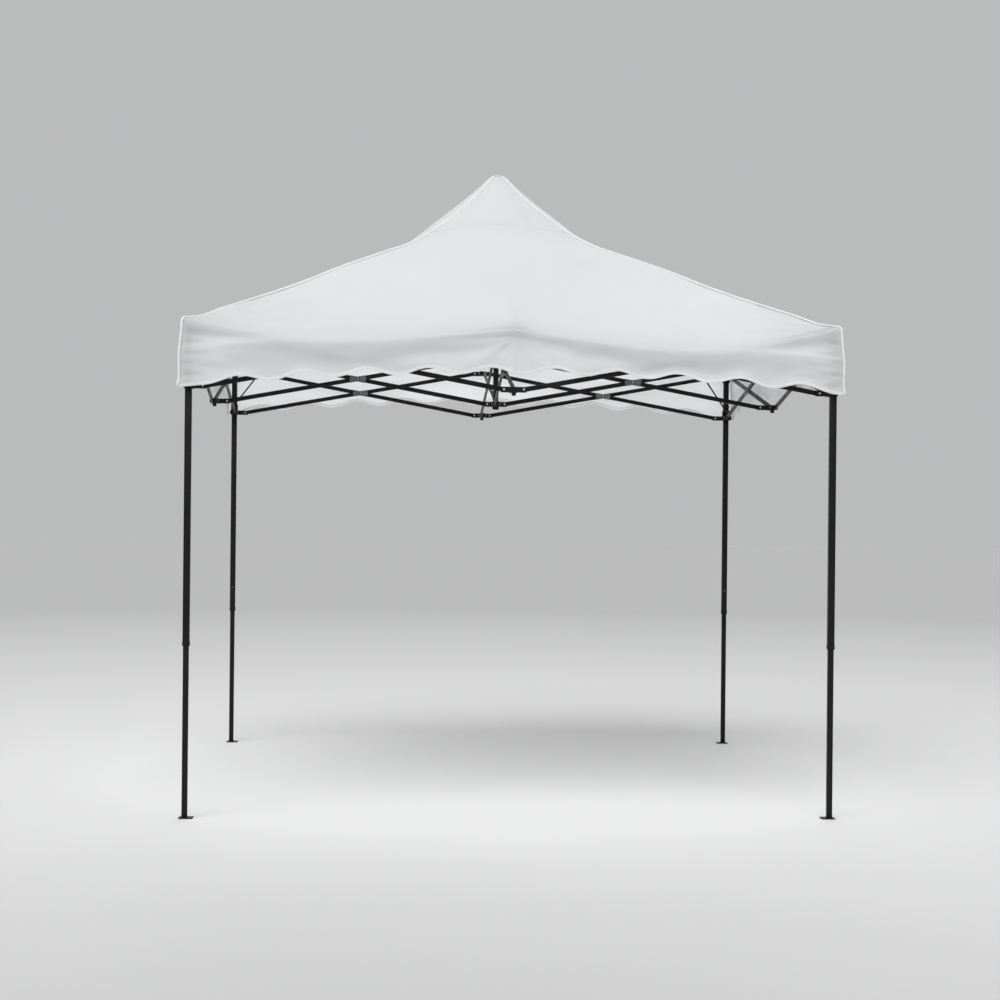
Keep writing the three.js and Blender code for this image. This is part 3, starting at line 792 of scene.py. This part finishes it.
def cover_uv(faces, grid):
    """Cloth coordinates in metres: along the side, and down the cloth."""
    columns = 4 * COLUMNS
    places = column_places(COLUMNS, last=True)
    steps = np.linalg.norm(np.diff(grid, axis=0, prepend=grid[:1] * 0 + grid[0].mean(0)), axis=-1)
    depth = np.cumsum(steps, axis=0).mean(1)
    uv = []
    for face in faces:
        column = (max(face[1] - 1, 0)) % columns
        for corner in face:
            if corner == 0:
                uv.append((0.0, 0.0))
                continue
            r, c = divmod(corner - 1, columns)
            ahead = 1 if c != column else 0
            uv.append((places[column % COLUMNS + ahead] * COVER_HALF * min(1.0, DOWN[r]), depth[r]))
    return uv


def whole_grid(wrinkled):
    u = column_places(COLUMNS)
    return all_round(lambda side: cover_grid(side, u, wrinkled), 1)


def peak_points():
    """The tip of the cover, at rest and folded."""
    return [(0.0, 0.0, float(curve(np.array(0.0)))) for curve in (hip_height, FOLDED_Z)]


def make_cover_sheet():
    rest = whole_grid(True)
    u = column_places(COLUMNS)
    folded = np.array([all_round(lambda side: folded_points(side, u, down)) for down in DOWN])
    tip, folded_tip = peak_points()
    faces = cover_faces()
    return folding_piece(
        "cover_fabric", np.concatenate([[tip], rest.reshape(-1, 3)]),
        np.concatenate([[folded_tip], folded.reshape(-1, 3)]), faces, cover_uv(faces, rest), FABRIC,
        FABRIC_THICKNESS, ["cover"],
    )


# ---------------------------------------------------------------- cover: tapes
def sweep_points(path, outward, profile, closed, widths=1.0):
    """Points of a profile carried along a path; the profile's second axis points outward."""
    path, outward = np.asarray(path, float), np.asarray(outward, float)
    if closed:
        tangent = np.roll(path, -1, 0) - np.roll(path, 1, 0)
    else:
        tangent = np.gradient(path, axis=0)
    tangent /= np.linalg.norm(tangent, axis=1)[:, None] + 1e-12
    out = outward - (outward * tangent).sum(1)[:, None] * tangent
    out /= np.linalg.norm(out, axis=1)[:, None] + 1e-12
    across = np.cross(tangent, out)
    return np.array([path + across * widths * a + out * b for a, b in profile]).swapaxes(0, 1)


def make_tape(name, rest, folded, profile, material, closed=False, widths=1.0):
    """A tape along the cover; rest and folded are each (path, outward directions)."""
    at_rest = sweep_points(*rest, profile, closed, widths)
    at_fold = sweep_points(*folded, profile, closed, widths)
    length, around = at_rest.shape[:2]
    steps = np.linalg.norm(np.diff(np.asarray(rest[0]), axis=0, prepend=[rest[0][0]]), axis=1)
    travelled = np.cumsum(steps)
    gaps = [math.dist(profile[i], profile[i - 1]) for i in range(around)]
    faces, uv = [], []
    for r in range(length if closed else length - 1):
        n = (r + 1) % length
        ahead = travelled[r] + 0.02 if n == 0 else travelled[n]
        for i in range(around):
            j = (i + 1) % around
            faces.append((r * around + i, r * around + j, n * around + j, n * around + i))
            low, high = sum(gaps[: i + 1]), sum(gaps[: i + 1]) + gaps[j]
            uv += [(travelled[r], low), (travelled[r], high), (ahead, high), (ahead, low)]
    if not closed:
        for ring in (list(reversed(range(around))), [(length - 1) * around + i for i in range(around)]):
            faces.append(tuple(ring))
            uv += [(0, 0)] * around
    piece = folding_piece(name, at_rest.reshape(-1, 3), at_fold.reshape(-1, 3), faces, uv, material)
    mesh = piece.data
    bm = bmesh.new()
    bm.from_mesh(mesh)
    bmesh.ops.recalc_face_normals(bm, faces=bm.faces)
    bm.to_mesh(mesh)
    bm.free()
    return piece


def flat_profile(width, height, radius, lift=0.0):
    return [(a, b + lift) for a, b in rounded_rectangle(width, height, radius, 3)]


# width, thickness and edge radius
HIP_TAPE = (0.022, 0.0056, 0.0026)
HEM_TAPE = (0.0135, 0.0044, 0.0020)
SEAM_LINE = (0.0045, 0.0022, 0.0010)
HIP_LIFT = 0.002  # of the hip tape's middle over the fabric
CORNER_SHARE = 0.56  # of the hip tape's width, on the corner seam of the valance
SEAM_SHARE, SEAM_RISE = 0.28, 0.035  # of the ring seam: place down the hips, rise in the middle of a gore
SEAM_POINTS = 48  # of the ring seam, on each side
# rings of the round patch on the tip: radius, and height over the roof
PEAK_PATCH = ((0.003, 0.0062), (0.012, 0.0060), (0.021, 0.0056), (0.0235, 0.0048), (0.024, 0.0020),
              (0.020, 0.0004))
PATCH_SIDES = 32


def make_hip_piping(corner):
    """Piping from the peak down a hip and then down the corner seam of the valance."""
    sx, sy = CORNERS[corner]
    side = {"front_left": "front", "front_right": "right", "back_right": "back", "back_left": "left"}[corner]
    edge = np.array([-1.0])
    down = np.array([0.0] + DOWN)
    tip, folded_tip = peak_points()
    path = np.concatenate([[tip], turned_by(side, cover_grid(side, edge))[:, 0]])
    path[-1, 2] -= HEM_TAPE[0] / 2
    diagonal = np.array([sx, sy, 0]) / math.sqrt(2)
    level = smooth_step(down, 0.97, 1.06)[:, None]
    near_tip = (1 - smooth_step(down, 0.0, 0.03))[:, None]
    outward = diagonal * (0.45 + 0.55 * level) * (1 - near_tip) + np.array([0, 0, 1]) * (1 - level)
    folded = np.concatenate([[folded_tip], [turned_by(side, folded_points(side, edge, d))[0] for d in DOWN]])
    folded_out = np.tile(diagonal, (len(path), 1))
    folded_out[:, 2] = 0.6 * (1 - smooth_step(down, 0.1, 0.2)) + 2 * near_tip[:, 0]
    widths = (1 - (1 - CORNER_SHARE) * level) * (1 - 0.45 * near_tip)
    profile = flat_profile(*HIP_TAPE, lift=HIP_LIFT)
    return make_tape(f"hip_piping_{corner}", (path, outward), (folded, folded_out), profile, BINDING,
                     widths=widths)


def make_hem_binding():
    u = column_places(2 * COLUMNS)
    mitre = np.clip((np.abs(u) - 0.985) / 0.015, 0, 1) * np.sign(u)
    outward = np.stack([np.ones_like(u), mitre, np.zeros_like(u)], -1)

    def gathered(side):
        return folded_points(side, u, 2.0)

    def facing(side):
        run = np.gradient(gathered(side), axis=0)
        return np.stack([run[:, 1], -run[:, 0], run[:, 2] * 0], -1)

    rest = all_round(lambda side: cover_grid(side, u)[-1]), all_round(lambda side: outward)
    folded = all_round(gathered), all_round(facing)
    profile = flat_profile(*HEM_TAPE, lift=-FABRIC_THICKNESS / 2)
    return make_tape("hem_binding", rest, folded, profile, BINDING, closed=True)


def make_ring_seam():
    """The seam where the peak section is sewn to the four gores; its grey is painted shade, the line of shade
    along the seam.
    """
    u = np.linspace(-1, 1, SEAM_POINTS, endpoint=False)
    share = SEAM_SHARE - SEAM_RISE * (1 - u * u)

    def seam(side):
        return roof_point(side, share, u, ROOF_HALF, True)

    def facing(side):
        points = seam(side)
        level = points * np.array([1.0, 1.0, 0]) / np.linalg.norm(points[:, :2], axis=1)[:, None]
        return level + np.array([0, 0, 1.1])

    gathered_facing = np.tile([1.0, 0, 0.3], (len(u), 1))
    rest = all_round(seam), all_round(facing)
    folded = all_round(lambda side: folded_points(side, u, share)), all_round(lambda side: gathered_facing)
    return make_tape("ring_seam", rest, folded, flat_profile(*SEAM_LINE), SEAM_PAINTED_SHADE, closed=True)


def make_peak_patch():
    """The round patch over the tip, where the four hips meet."""
    rest, folded = [], []
    for radius, lift in PEAK_PATCH:
        share = np.array(radius / COVER_HALF / CONE_FACTOR)
        for points, height in ((rest, hip_height), (folded, FOLDED_Z)):
            points.extend((x, y, float(height(share)) + lift) for x, y in circle(radius, PATCH_SIDES))
    last = (len(PEAK_PATCH) - 1) * PATCH_SIDES
    faces = [tuple(range(PATCH_SIDES))]
    for start in range(0, last, PATCH_SIDES):
        faces += band(start + PATCH_SIDES, start, PATCH_SIDES)
    faces.append(tuple(reversed(range(last, last + PATCH_SIDES))))
    uv = [rest[corner][:2] for face in faces for corner in face]
    return folding_piece("peak_patch", rest, folded, faces, uv, BINDING)


def make_cover():
    sheet = make_cover_sheet()
    trims = [make_hip_piping(corner) for corner in CORNERS]
    trims += [make_hem_binding(), make_ring_seam(), make_peak_patch()]
    smooth = whole_grid(False)


# ---------------------------------------------------------------- frame: bars
def bar_places():
    """Each bar's body, inner pivot and outer pivot, in its side's own frame."""
    for side in SIDES:
        inner, outer = HUB_ARM, HUB_ARM + SPAN
        yield side, "spoke_upper_bar", (inner, BAR_SHIFT, UPPER_Z), (outer, BAR_SHIFT, LOWER_Z)
        yield side, "spoke_lower_bar", (inner, -BAR_SHIFT, LOWER_Z), (outer, -BAR_SHIFT, UPPER_Z)
        for end, sign in (("a", -1), ("b", 1)):
            y0, y1 = sign * inner, sign * outer
            yield side, f"rising_bar_{end}", (LEG + BAR_SHIFT, y0, LOWER_Z), (LEG + BAR_SHIFT, y1, UPPER_Z)
            yield side, f"falling_bar_{end}", (LEG - BAR_SHIFT, y0, UPPER_Z), (LEG - BAR_SHIFT, y1, LOWER_Z)


def plug_outline(shrink):
    width, height = (size + PLUG_PROUD - shrink for size in BAR_SIZE)
    return rounded_rectangle(width, height, 0.0027 - shrink / 3)


def make_bars():
    half = BAR_REACH / 2 + BAR_BEYOND
    width, height = BAR_SIZE
    tube = make_mesh("bar_tube", hollow_tube(width, height, BAR_ROUND, BAR_WALL, -half, half), STEEL)
    plug = loft([ring_of(plug_outline(shrink), x) for x, shrink in PLUG_PROFILE])
    flip = Matrix.Rotation(math.pi, 4, "Z")
    at_end = Matrix.Translation((half, 0, 0))
    plugs = make_mesh("bar_plugs", joined([(at_end, *plug), (flip @ at_end, *plug)]), PLASTIC)
    around = 2 * SLEEVE_WALL
    sleeve_shape = hollow_tube(width + around, height + around, 0.0036, SLEEVE_WALL - 0.0001,
                               -SLEEVE_LENGTH / 2, SLEEVE_LENGTH / 2)
    sleeve = make_mesh("bar_sleeve", sleeve_shape, GREY_PLASTIC)
    for side, name, inner, outer in bar_places():
        turn = side_turn(side)
        start, end = turn @ Vector(inner), turn @ Vector(outer)
        matrix = pointing(end - start, (start + end) / 2)
        body = f"{side}_{name}"
        place_piece(f"{body}_tube", tube, body, [body], matrix)
        place_piece(f"{body}_plugs", plugs, body, (), matrix)
        place_piece(f"{body}_sleeve", sleeve, body, (), matrix)


# ---------------------------------------------------------------- frame: rivets
def rivet_head():
    """A domed rivet head, standing along +X from its washer."""
    base, shoulder = WASHER_HEIGHT - 0.0003, WASHER_HEIGHT + 0.0004
    profile = [(base, 0), (base, RIVET_RADIUS), (shoulder, RIVET_RADIUS)]
    for i in range(1, 6):
        a = math.pi / 2 * i / 6
        profile.append((shoulder + (RIVET_HEIGHT - shoulder) * math.sin(a), RIVET_RADIUS * math.cos(a)))
    return lathe(profile + [(RIVET_HEIGHT, 0)], 20)


def washer():
    """A flat washer with a rounded rim, standing along +X from its seat."""
    rim = WASHER_RADIUS
    return lathe([(-0.0004, 0), (-0.0004, rim), (WASHER_HEIGHT - 0.0003, rim), (WASHER_HEIGHT, rim - 0.0004),
                  (WASHER_HEIGHT, 0)], 24)


def pin_ends(places, seat):
    """Where both ends of each pin sit, out of the truss plane; places are (middle, axis)."""
    return [pointing(axis * way, place + axis * way * seat) for place, axis in places for way in (1, -1)]


def place_pin_ends(name, matrices, body):
    """Bright rivet heads on black washers."""
    for part, shape, material in (("rivets", rivet_head(), ZINC), ("washers", washer(), STEEL)):
        add_piece(f"{name}_{part}", joined([(matrix, *shape) for matrix in matrices]), material, body)


def make_rivets():
    forks = {}
    seat = FORK_HALF + 0.0016
    for side in SIDES:
        turn, across, along = side_axes(side)
        for level, z, hub in (("upper", UPPER_Z, COVER_BODY), ("lower", LOWER_Z, "lower_hub_and_mast_tube")):
            forks.setdefault(hub, []).extend(pin_ends([(turn @ Vector((HUB_ARM, 0, z)), across)], seat))
            places = [(turn @ Vector((HUB_ARM + SPAN, 0, z)), across)]
            places += [(turn @ Vector((LEG, way * HUB_ARM, z)), along) for way in (-1, 1)]
            forks[f"{side}_{level}_connector"] = pin_ends(places, seat)
    near = HUB_ARM + SPAN  # the side pivots next to a leg
    for corner, (sx, sy) in CORNERS.items():
        for part, z in (("leg", UPPER_Z), ("slider", LOWER_Z)):
            places = [(Vector((sx * near, sy * LEG, z)), Vector((0, 1, 0))),
                      (Vector((sx * LEG, sy * near, z)), Vector((1, 0, 0)))]
            forks[f"{corner}_{part}"] = pin_ends(places, seat)
    for body, matrices in forks.items():
        place_pin_ends(body, matrices, body)
    make_crossing_rivets()


def make_crossing_rivets():
    middle, z = HUB_ARM + SPAN / 2, (UPPER_Z + LOWER_Z) / 2
    for side in SIDES:
        turn, across, along = side_axes(side)
        crossings = {"spoke_upper_bar": ((middle, 0, z), across), "rising_bar_a": ((LEG, -middle, z), along),
                     "rising_bar_b": ((LEG, middle, z), along)}
        for bar, (place, axis) in crossings.items():
            body = f"{side}_{bar}"
            ends = pin_ends([(turn @ Vector(place), axis)], CROSSING_SEAT + SLEEVE_WALL)
            place_pin_ends(f"{body}_crossing", ends, body)


# ---------------------------------------------------------------- frame: legs
def cut(piece, cutter_shapes):
    """Takes solids out of a piece that stands in place."""
    for number, (points, faces) in enumerate(cutter_shapes):
        mesh = bpy.data.meshes.new("cutter")
        mesh.from_pydata([tuple(p) for p in points], [], faces)
        cutter = bpy.data.objects.new("cutter", mesh)
        bpy.context.scene.collection.objects.link(cutter)
        modifier = piece.modifiers.new(f"cut_{number}", "BOOLEAN")
        modifier.object = cutter
        modifier.solver = "EXACT"
        bpy.context.view_layer.update()
        evaluated = piece.evaluated_get(bpy.context.evaluated_depsgraph_get())
        finished = bpy.data.meshes.new_from_object(evaluated)
        piece.modifiers.clear()
        piece.data = finished
        bpy.data.objects.remove(cutter)
    piece.data.set_sharp_from_angle(angle=SHARP_EDGE)


def round_hole(centre, direction):
    """A plain round solid through a tube's wall, for cutting a button hole."""
    half = HOLE_DEPTH / 2
    shape = lathe([(-half, 0), (-half, HOLE_RADIUS), (half, HOLE_RADIUS), (half, 0)], 24)
    return moved(pointing(direction, centre), shape)


def upright_tube(size, bottom, top, at, rounding=TUBE_ROUND, wall=TUBE_WALL):
    """A square tube that stands at a place on the ground."""
    return moved(Matrix.Translation((*at, 0)) @ STAND, hollow_tube(size, size, rounding, wall, bottom, top))


HOLE_RADIUS, HOLE_DEPTH = 0.0047, 0.01
HOLE_STEP, HOLES = 0.350, 3
FOOT_SIZE, FOOT_THICKNESS, FOOT_ROUND = 0.064, 0.003, 0.006
WELD_RADIUS, WELD_LUMPS, WELD_SIDES = 0.0021, 0.0005, 8
BUSH_WALL, BUSH_HEIGHT, BUSH_BELOW = 0.0016, 0.018, 0.001  # bush at the end of an outer tube
BUTTON_ROUND = 0.0016


def foot_plate(low):
    """A square plate with round corners, from its lowest corner."""
    half = FOOT_SIZE / 2
    outline = rounded_rectangle(FOOT_SIZE, FOOT_SIZE, FOOT_ROUND, 5)
    rings = []
    for z, shrink in ((0, 0.0006), (0.0004, 0), (FOOT_THICKNESS - 0.0005, 0), (FOOT_THICKNESS, 0.0008)):
        scale = 1 - shrink / half
        rings.append([(low.x + half + x * scale, low.y + half + y * scale, z) for x, y in outline])
    return loft(rings)


def make_legs():
    button_z = (BUTTON_BOX[0].z + BUTTON_BOX[1].z) / 2
    for seed, (corner, (sx, sy)) in enumerate(CORNERS.items(), 11):
        at = (sx * LEG, sy * LEG)
        inward = Vector((0, -sy, 0))
        low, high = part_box(f"{corner}_outer_leg")
        tube = upright_tube(OUTER_TUBE, low.z, high.z, at)
        piece = add_piece(f"{corner}_outer_tube", tube, STEEL, f"{corner}_leg", [f"{corner}_outer_leg"])
        cut(piece, [round_hole(Vector((*at, button_z)) + inward * OUTER_TUBE / 2, inward)])
        make_inner_leg(corner, at, inward, button_z, seed)
        make_button(f"{corner}_leg_button", inward)
        make_button(f"{corner}_slider_button", inward)
        bottom = low.z - BUSH_BELOW
        bush = upright_tube(OUTER_TUBE + 2 * BUSH_WALL, bottom, bottom + BUSH_HEIGHT, at,
                            TUBE_ROUND + BUSH_WALL, BUSH_WALL - 0.0001)
        add_piece(f"{corner}_end_bush", bush, PLASTIC, f"{corner}_leg")


def make_inner_leg(corner, at, inward, button_z, seed):
    """The inner tube with its height holes, its foot plate and the weld between them."""
    body = f"{corner}_inner_leg"
    low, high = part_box(body)
    tube = upright_tube(INNER_TUBE, FOOT_THICKNESS - 0.0002, high.z, at)
    piece = add_piece(f"{corner}_inner_tube", tube, STEEL, body, [body])
    face = Vector((*at, button_z)) + inward * INNER_TUBE / 2
    cut(piece, [round_hole(face - Vector((0, 0, i * HOLE_STEP)), inward) for i in range(HOLES)])
    sx, sy = CORNERS[corner]
    plate_low = Vector((low.x if sx < 0 else high.x - FOOT_SIZE, low.y if sy < 0 else high.y - FOOT_SIZE, 0))
    add_piece(f"{corner}_foot", foot_plate(plate_low), STEEL, body)
    add_piece(f"{corner}_foot_weld", weld_bead(INNER_TUBE, FOOT_THICKNESS, at, seed), STEEL, body)


def weld_bead(size, z, at, seed):
    """A lumpy bead round the foot of a square tube."""
    draw = random.Random(seed)
    rings = []
    for x, y in rounded_rectangle(size + 0.0015, size + 0.0015, 0.0034, 10):
        outward = Vector((x, y, 0)).normalized()
        centre = Vector((at[0] + x, at[1] + y, z + 0.0006))
        section = circle(WELD_RADIUS + WELD_LUMPS * draw.random(), WELD_SIDES)
        rings.append([centre + outward * out + Vector((0, 0, up)) for out, up in section])
    return loft(rings, "joined")


def make_button(name, inward):
    """A round button with a domed face, on the CAD button's axis."""
    low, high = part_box(name)
    radius, half = (high.x - low.x) / 2, (high.y - low.y) / 2
    profile = [(-half, 0), (-half, radius * 0.9), (-half + 0.0004, radius)]
    for i in range(6):
        a = math.pi / 2 * i / 5
        profile.append((half - BUTTON_ROUND * (1 - math.sin(a)), radius - BUTTON_ROUND * (1 - math.cos(a))))
    shape = lathe(profile + [(half, 0)], 28)
    add_piece(f"{name}_cap", moved(pointing(inward, (low + high) / 2), shape), GREY_PLASTIC, name, [name])


# ---------------------------------------------------------------- frame: mast and hubs
MAST_TUBE_RADIUS, MAST_TUBE_WALL = 0.014, 0.0016
MAST_POLE_RADIUS, MAST_POLE_WALL = 0.011, 0.0012
MAST_END_RADIUS, MAST_END_HEIGHT = 0.0165, 0.016
MAST_BUSH_RADIUS, MAST_BUSH_WALL, MAST_BUSH_HEIGHT = 0.0168, 0.0048, 0.028
CAP_RADIUS, CAP_BOTTOM_Z, CAP_RIM, CAP_HEIGHT = 0.030, 3.040, 0.014, 0.046
EDGE_ROUND = 0.0012  # of moulded parts


def round_tube(radius, wall, bottom, top, sides=40):
    """A round open tube along Z."""
    inner, outer = circle(radius - wall, sides), circle(radius, sides)
    rings = ((inner, bottom), (outer, bottom), (outer, top), (inner, top))
    return loft([[(x, y, z) for x, y in outline] for outline, z in rings], "joined")


def make_mast():
    low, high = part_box("lower_hub_with_mast_tube")
    body = "lower_hub_and_mast_tube"
    tube = round_tube(MAST_TUBE_RADIUS, MAST_TUBE_WALL, low.z, high.z - 0.002)
    add_piece("mast_tube", tube, STEEL, body, ["lower_hub_with_mast_tube"])
    end = lathe([(low.z, 0), (low.z, MAST_END_RADIUS - 0.002), (low.z + 0.002, MAST_END_RADIUS),
                 (low.z + MAST_END_HEIGHT - 0.002, MAST_END_RADIUS), (low.z + MAST_END_HEIGHT, 0)], 32)
    add_piece("mast_tube_end", moved(STAND, end), PLASTIC, body)
    bush = round_tube(MAST_BUSH_RADIUS, MAST_BUSH_WALL, high.z - MAST_BUSH_HEIGHT, high.z)
    add_piece("mast_bush", bush, PLASTIC, body)
    make_lower_hub(body)
    pole_low, pole_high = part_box("mast_pole")
    pole = round_tube(MAST_POLE_RADIUS, MAST_POLE_WALL, pole_low.z, CAP_BOTTOM_Z + 0.004)
    add_piece("mast_pole_tube", pole, STEEL, "mast_pole", ["mast_pole"])
    profile = [(CAP_BOTTOM_Z, 0), (CAP_BOTTOM_Z, CAP_RADIUS * 0.8), (CAP_BOTTOM_Z + 0.003, CAP_RADIUS * 0.97)]
    for i in range(9):
        a = math.pi / 2 * i / 9
        rise = CAP_RIM + (CAP_HEIGHT - CAP_RIM) * math.sin(a)
        profile.append((CAP_BOTTOM_Z + rise, CAP_RADIUS * math.cos(a)))
    cap = lathe(profile + [(pole_high.z, 0)], 40)
    add_piece("mast_cap", moved(STAND, cap), PLASTIC, "mast_pole")


def make_lower_hub(body):
    """The lower hub is the upper hub's moulding, mirrored."""
    mesh = bpy.data.meshes.new_from_object(frame["nodes"]["upper_hub"])
    mesh.transform(Matrix.Translation((0, 0, LOWER_Z - UPPER_Z)) @ Matrix.Scale(-1, 4, (0, 1, 0)))
    mesh.flip_normals()
    mesh.materials.clear()
    mesh.materials.append(PLASTIC)
    soften(place_piece("lower_hub", mesh, body))


def soften(piece):
    """Small round edges on a moulded part."""
    bevel = piece.modifiers.new("edges", "BEVEL")
    bevel.width = EDGE_ROUND
    bevel.segments = 2
    bevel.limit_method = "ANGLE"
    bevel.angle_limit = math.radians(35)


def finish_cad_nodes():
    """Moulded parts whose CAD shape is kept: their material and their edges."""
    for node in frame["nodes"].values():
        if node.hide_render:
            continue
        for material_slot in node.material_slots:
            material_slot.material = PLASTIC
        soften(node)


# ---------------------------------------------------------------- straps
STRAP_SIZE = (0.012, 0.0018, 0.0008)  # width, thickness and edge radius
STRAP_LOW_Z, STRAP_TOP_SHARE, STRAP_FOLDED_TOP_Z = 1.992, 0.79, 2.2
STRAP_POINTS, STRAP_SLACK = 14, 0.012
LOOP_WALL, LOOP_GAP = 0.0018, 0.0005  # band that holds a strap on its leg


def make_straps():
    """A webbing strap from each leg, over its slider, up to the hip of the roof."""
    t = np.linspace(0, 1, STRAP_POINTS)
    start = LEG - OUTER_TUBE / 2 - 0.003
    top = STRAP_TOP_SHARE * ROOF_HALF
    top_z = float(hip_height(np.array(STRAP_TOP_SHARE))) - 0.004
    heights = STRAP_LOW_Z + (top_z - STRAP_LOW_Z) * t - STRAP_SLACK * np.sin(np.pi * t)
    folded_heights = STRAP_LOW_Z + (STRAP_FOLDED_TOP_Z - STRAP_LOW_Z) * t
    reach, folded_reach = start + (top - start) * t, start - FOLD_TRAVEL - 0.03 * t
    loop_size = OUTER_TUBE + 2 * (LOOP_WALL + LOOP_GAP)
    for corner, (sx, sy) in CORNERS.items():
        rest = np.stack([sx * reach, sy * reach, heights], -1), np.tile([sx, sy, 0.9], (STRAP_POINTS, 1))
        folded = (np.stack([sx * folded_reach, sy * folded_reach, folded_heights], -1),
                  np.tile([sx, sy, 0.0], (STRAP_POINTS, 1)))
        make_tape(f"tie_strap_{corner}", rest, folded, flat_profile(*STRAP_SIZE), WEBBING)
        loop = upright_tube(loop_size, STRAP_LOW_Z - 0.008, STRAP_LOW_Z + 0.006, (sx * LEG, sy * LEG),
                            TUBE_ROUND + LOOP_WALL + LOOP_GAP, LOOP_WALL)
        add_piece(f"strap_loop_{corner}", loop, PLASTIC, f"{corner}_leg")


# ---------------------------------------------------------------- stage
STUDIO_TONE = (0.985, 0.99, 1.0)
STUDIO_LIGHT = 0.50
# name, direction that the light travels, strength, softness in degrees
SOFT_SUNS = (
    ("key", (0.26, 0.62, -0.83), 2.45, 50),
    ("fill", (-0.6, 0.35, -0.75), 0.2, 80),
    ("back", (-0.1, -0.95, -0.20), 3.4, 40),
)
FLOOR_NEAR, FLOOR_FAR = 0.60, 0.365  # albedo under the canopy and far away, where it meets the backdrop
FLOOR_FADE = (2.0, 16.0)  # distances from the centre between which the albedo changes
FLOOR_RADIUS, FLOOR_Z = 60.0, -0.0005


def make_stage():
    floor_material, tree, shader = new_material("pale_floor", Roughness=1.0, Specular_IOR_Level=0.0)
    place = add_node(tree, "ShaderNodeTexCoord").outputs["Object"]
    distance = add_node(tree, "ShaderNodeVectorMath", {0: place}, operation="LENGTH").outputs["Value"]
    far = between(tree, distance, *FLOOR_FADE, 0.0, 1.0)
    eased = add_node(tree, "ShaderNodeMath", {0: far, 1: 0.6}, operation="POWER").outputs[0]
    cloudy = mixed_colour(tree, noise_of(tree, 0.8, 4.0), grey(FLOOR_NEAR - 0.01), grey(FLOOR_NEAR + 0.01))
    tree.links.new(mixed_colour(tree, eased, cloudy, grey(FLOOR_FAR)), shader.inputs["Base Color"])
    ring = [(x, y, FLOOR_Z) for x, y in circle(FLOOR_RADIUS, 96)]
    mesh = bpy.data.meshes.new("floor")
    mesh.from_pydata(ring, [], [tuple(range(len(ring)))])
    mesh.materials.append(floor_material)
    floor = bpy.data.objects.new("floor", mesh)
    bpy.context.scene.collection.objects.link(floor)
    world = bpy.data.worlds.new("studio")
    bpy.context.scene.world = world
    world.use_nodes = True
    background = world.node_tree.nodes["Background"]
    background.inputs["Color"].default_value = (*STUDIO_TONE, 1)
    background.inputs["Strength"].default_value = STUDIO_LIGHT
    bpy.context.scene.view_settings.view_transform = "Standard"
    for name, direction, strength, softness in SOFT_SUNS:
        data = bpy.data.lights.new(name, "SUN")
        data.energy = strength
        data.angle = math.radians(softness)
        light = bpy.data.objects.new(name, data)
        light.rotation_euler = Vector(direction).to_track_quat("-Z", "Y").to_euler()
        light.visible_glossy = name != "back"  # no glare off the flat tops of the foot plates
        bpy.context.scene.collection.objects.link(light)


make_camera()
make_cover()
make_bars()
make_rivets()
make_legs()
make_mast()
make_straps()
finish_cad_nodes()
make_stage()
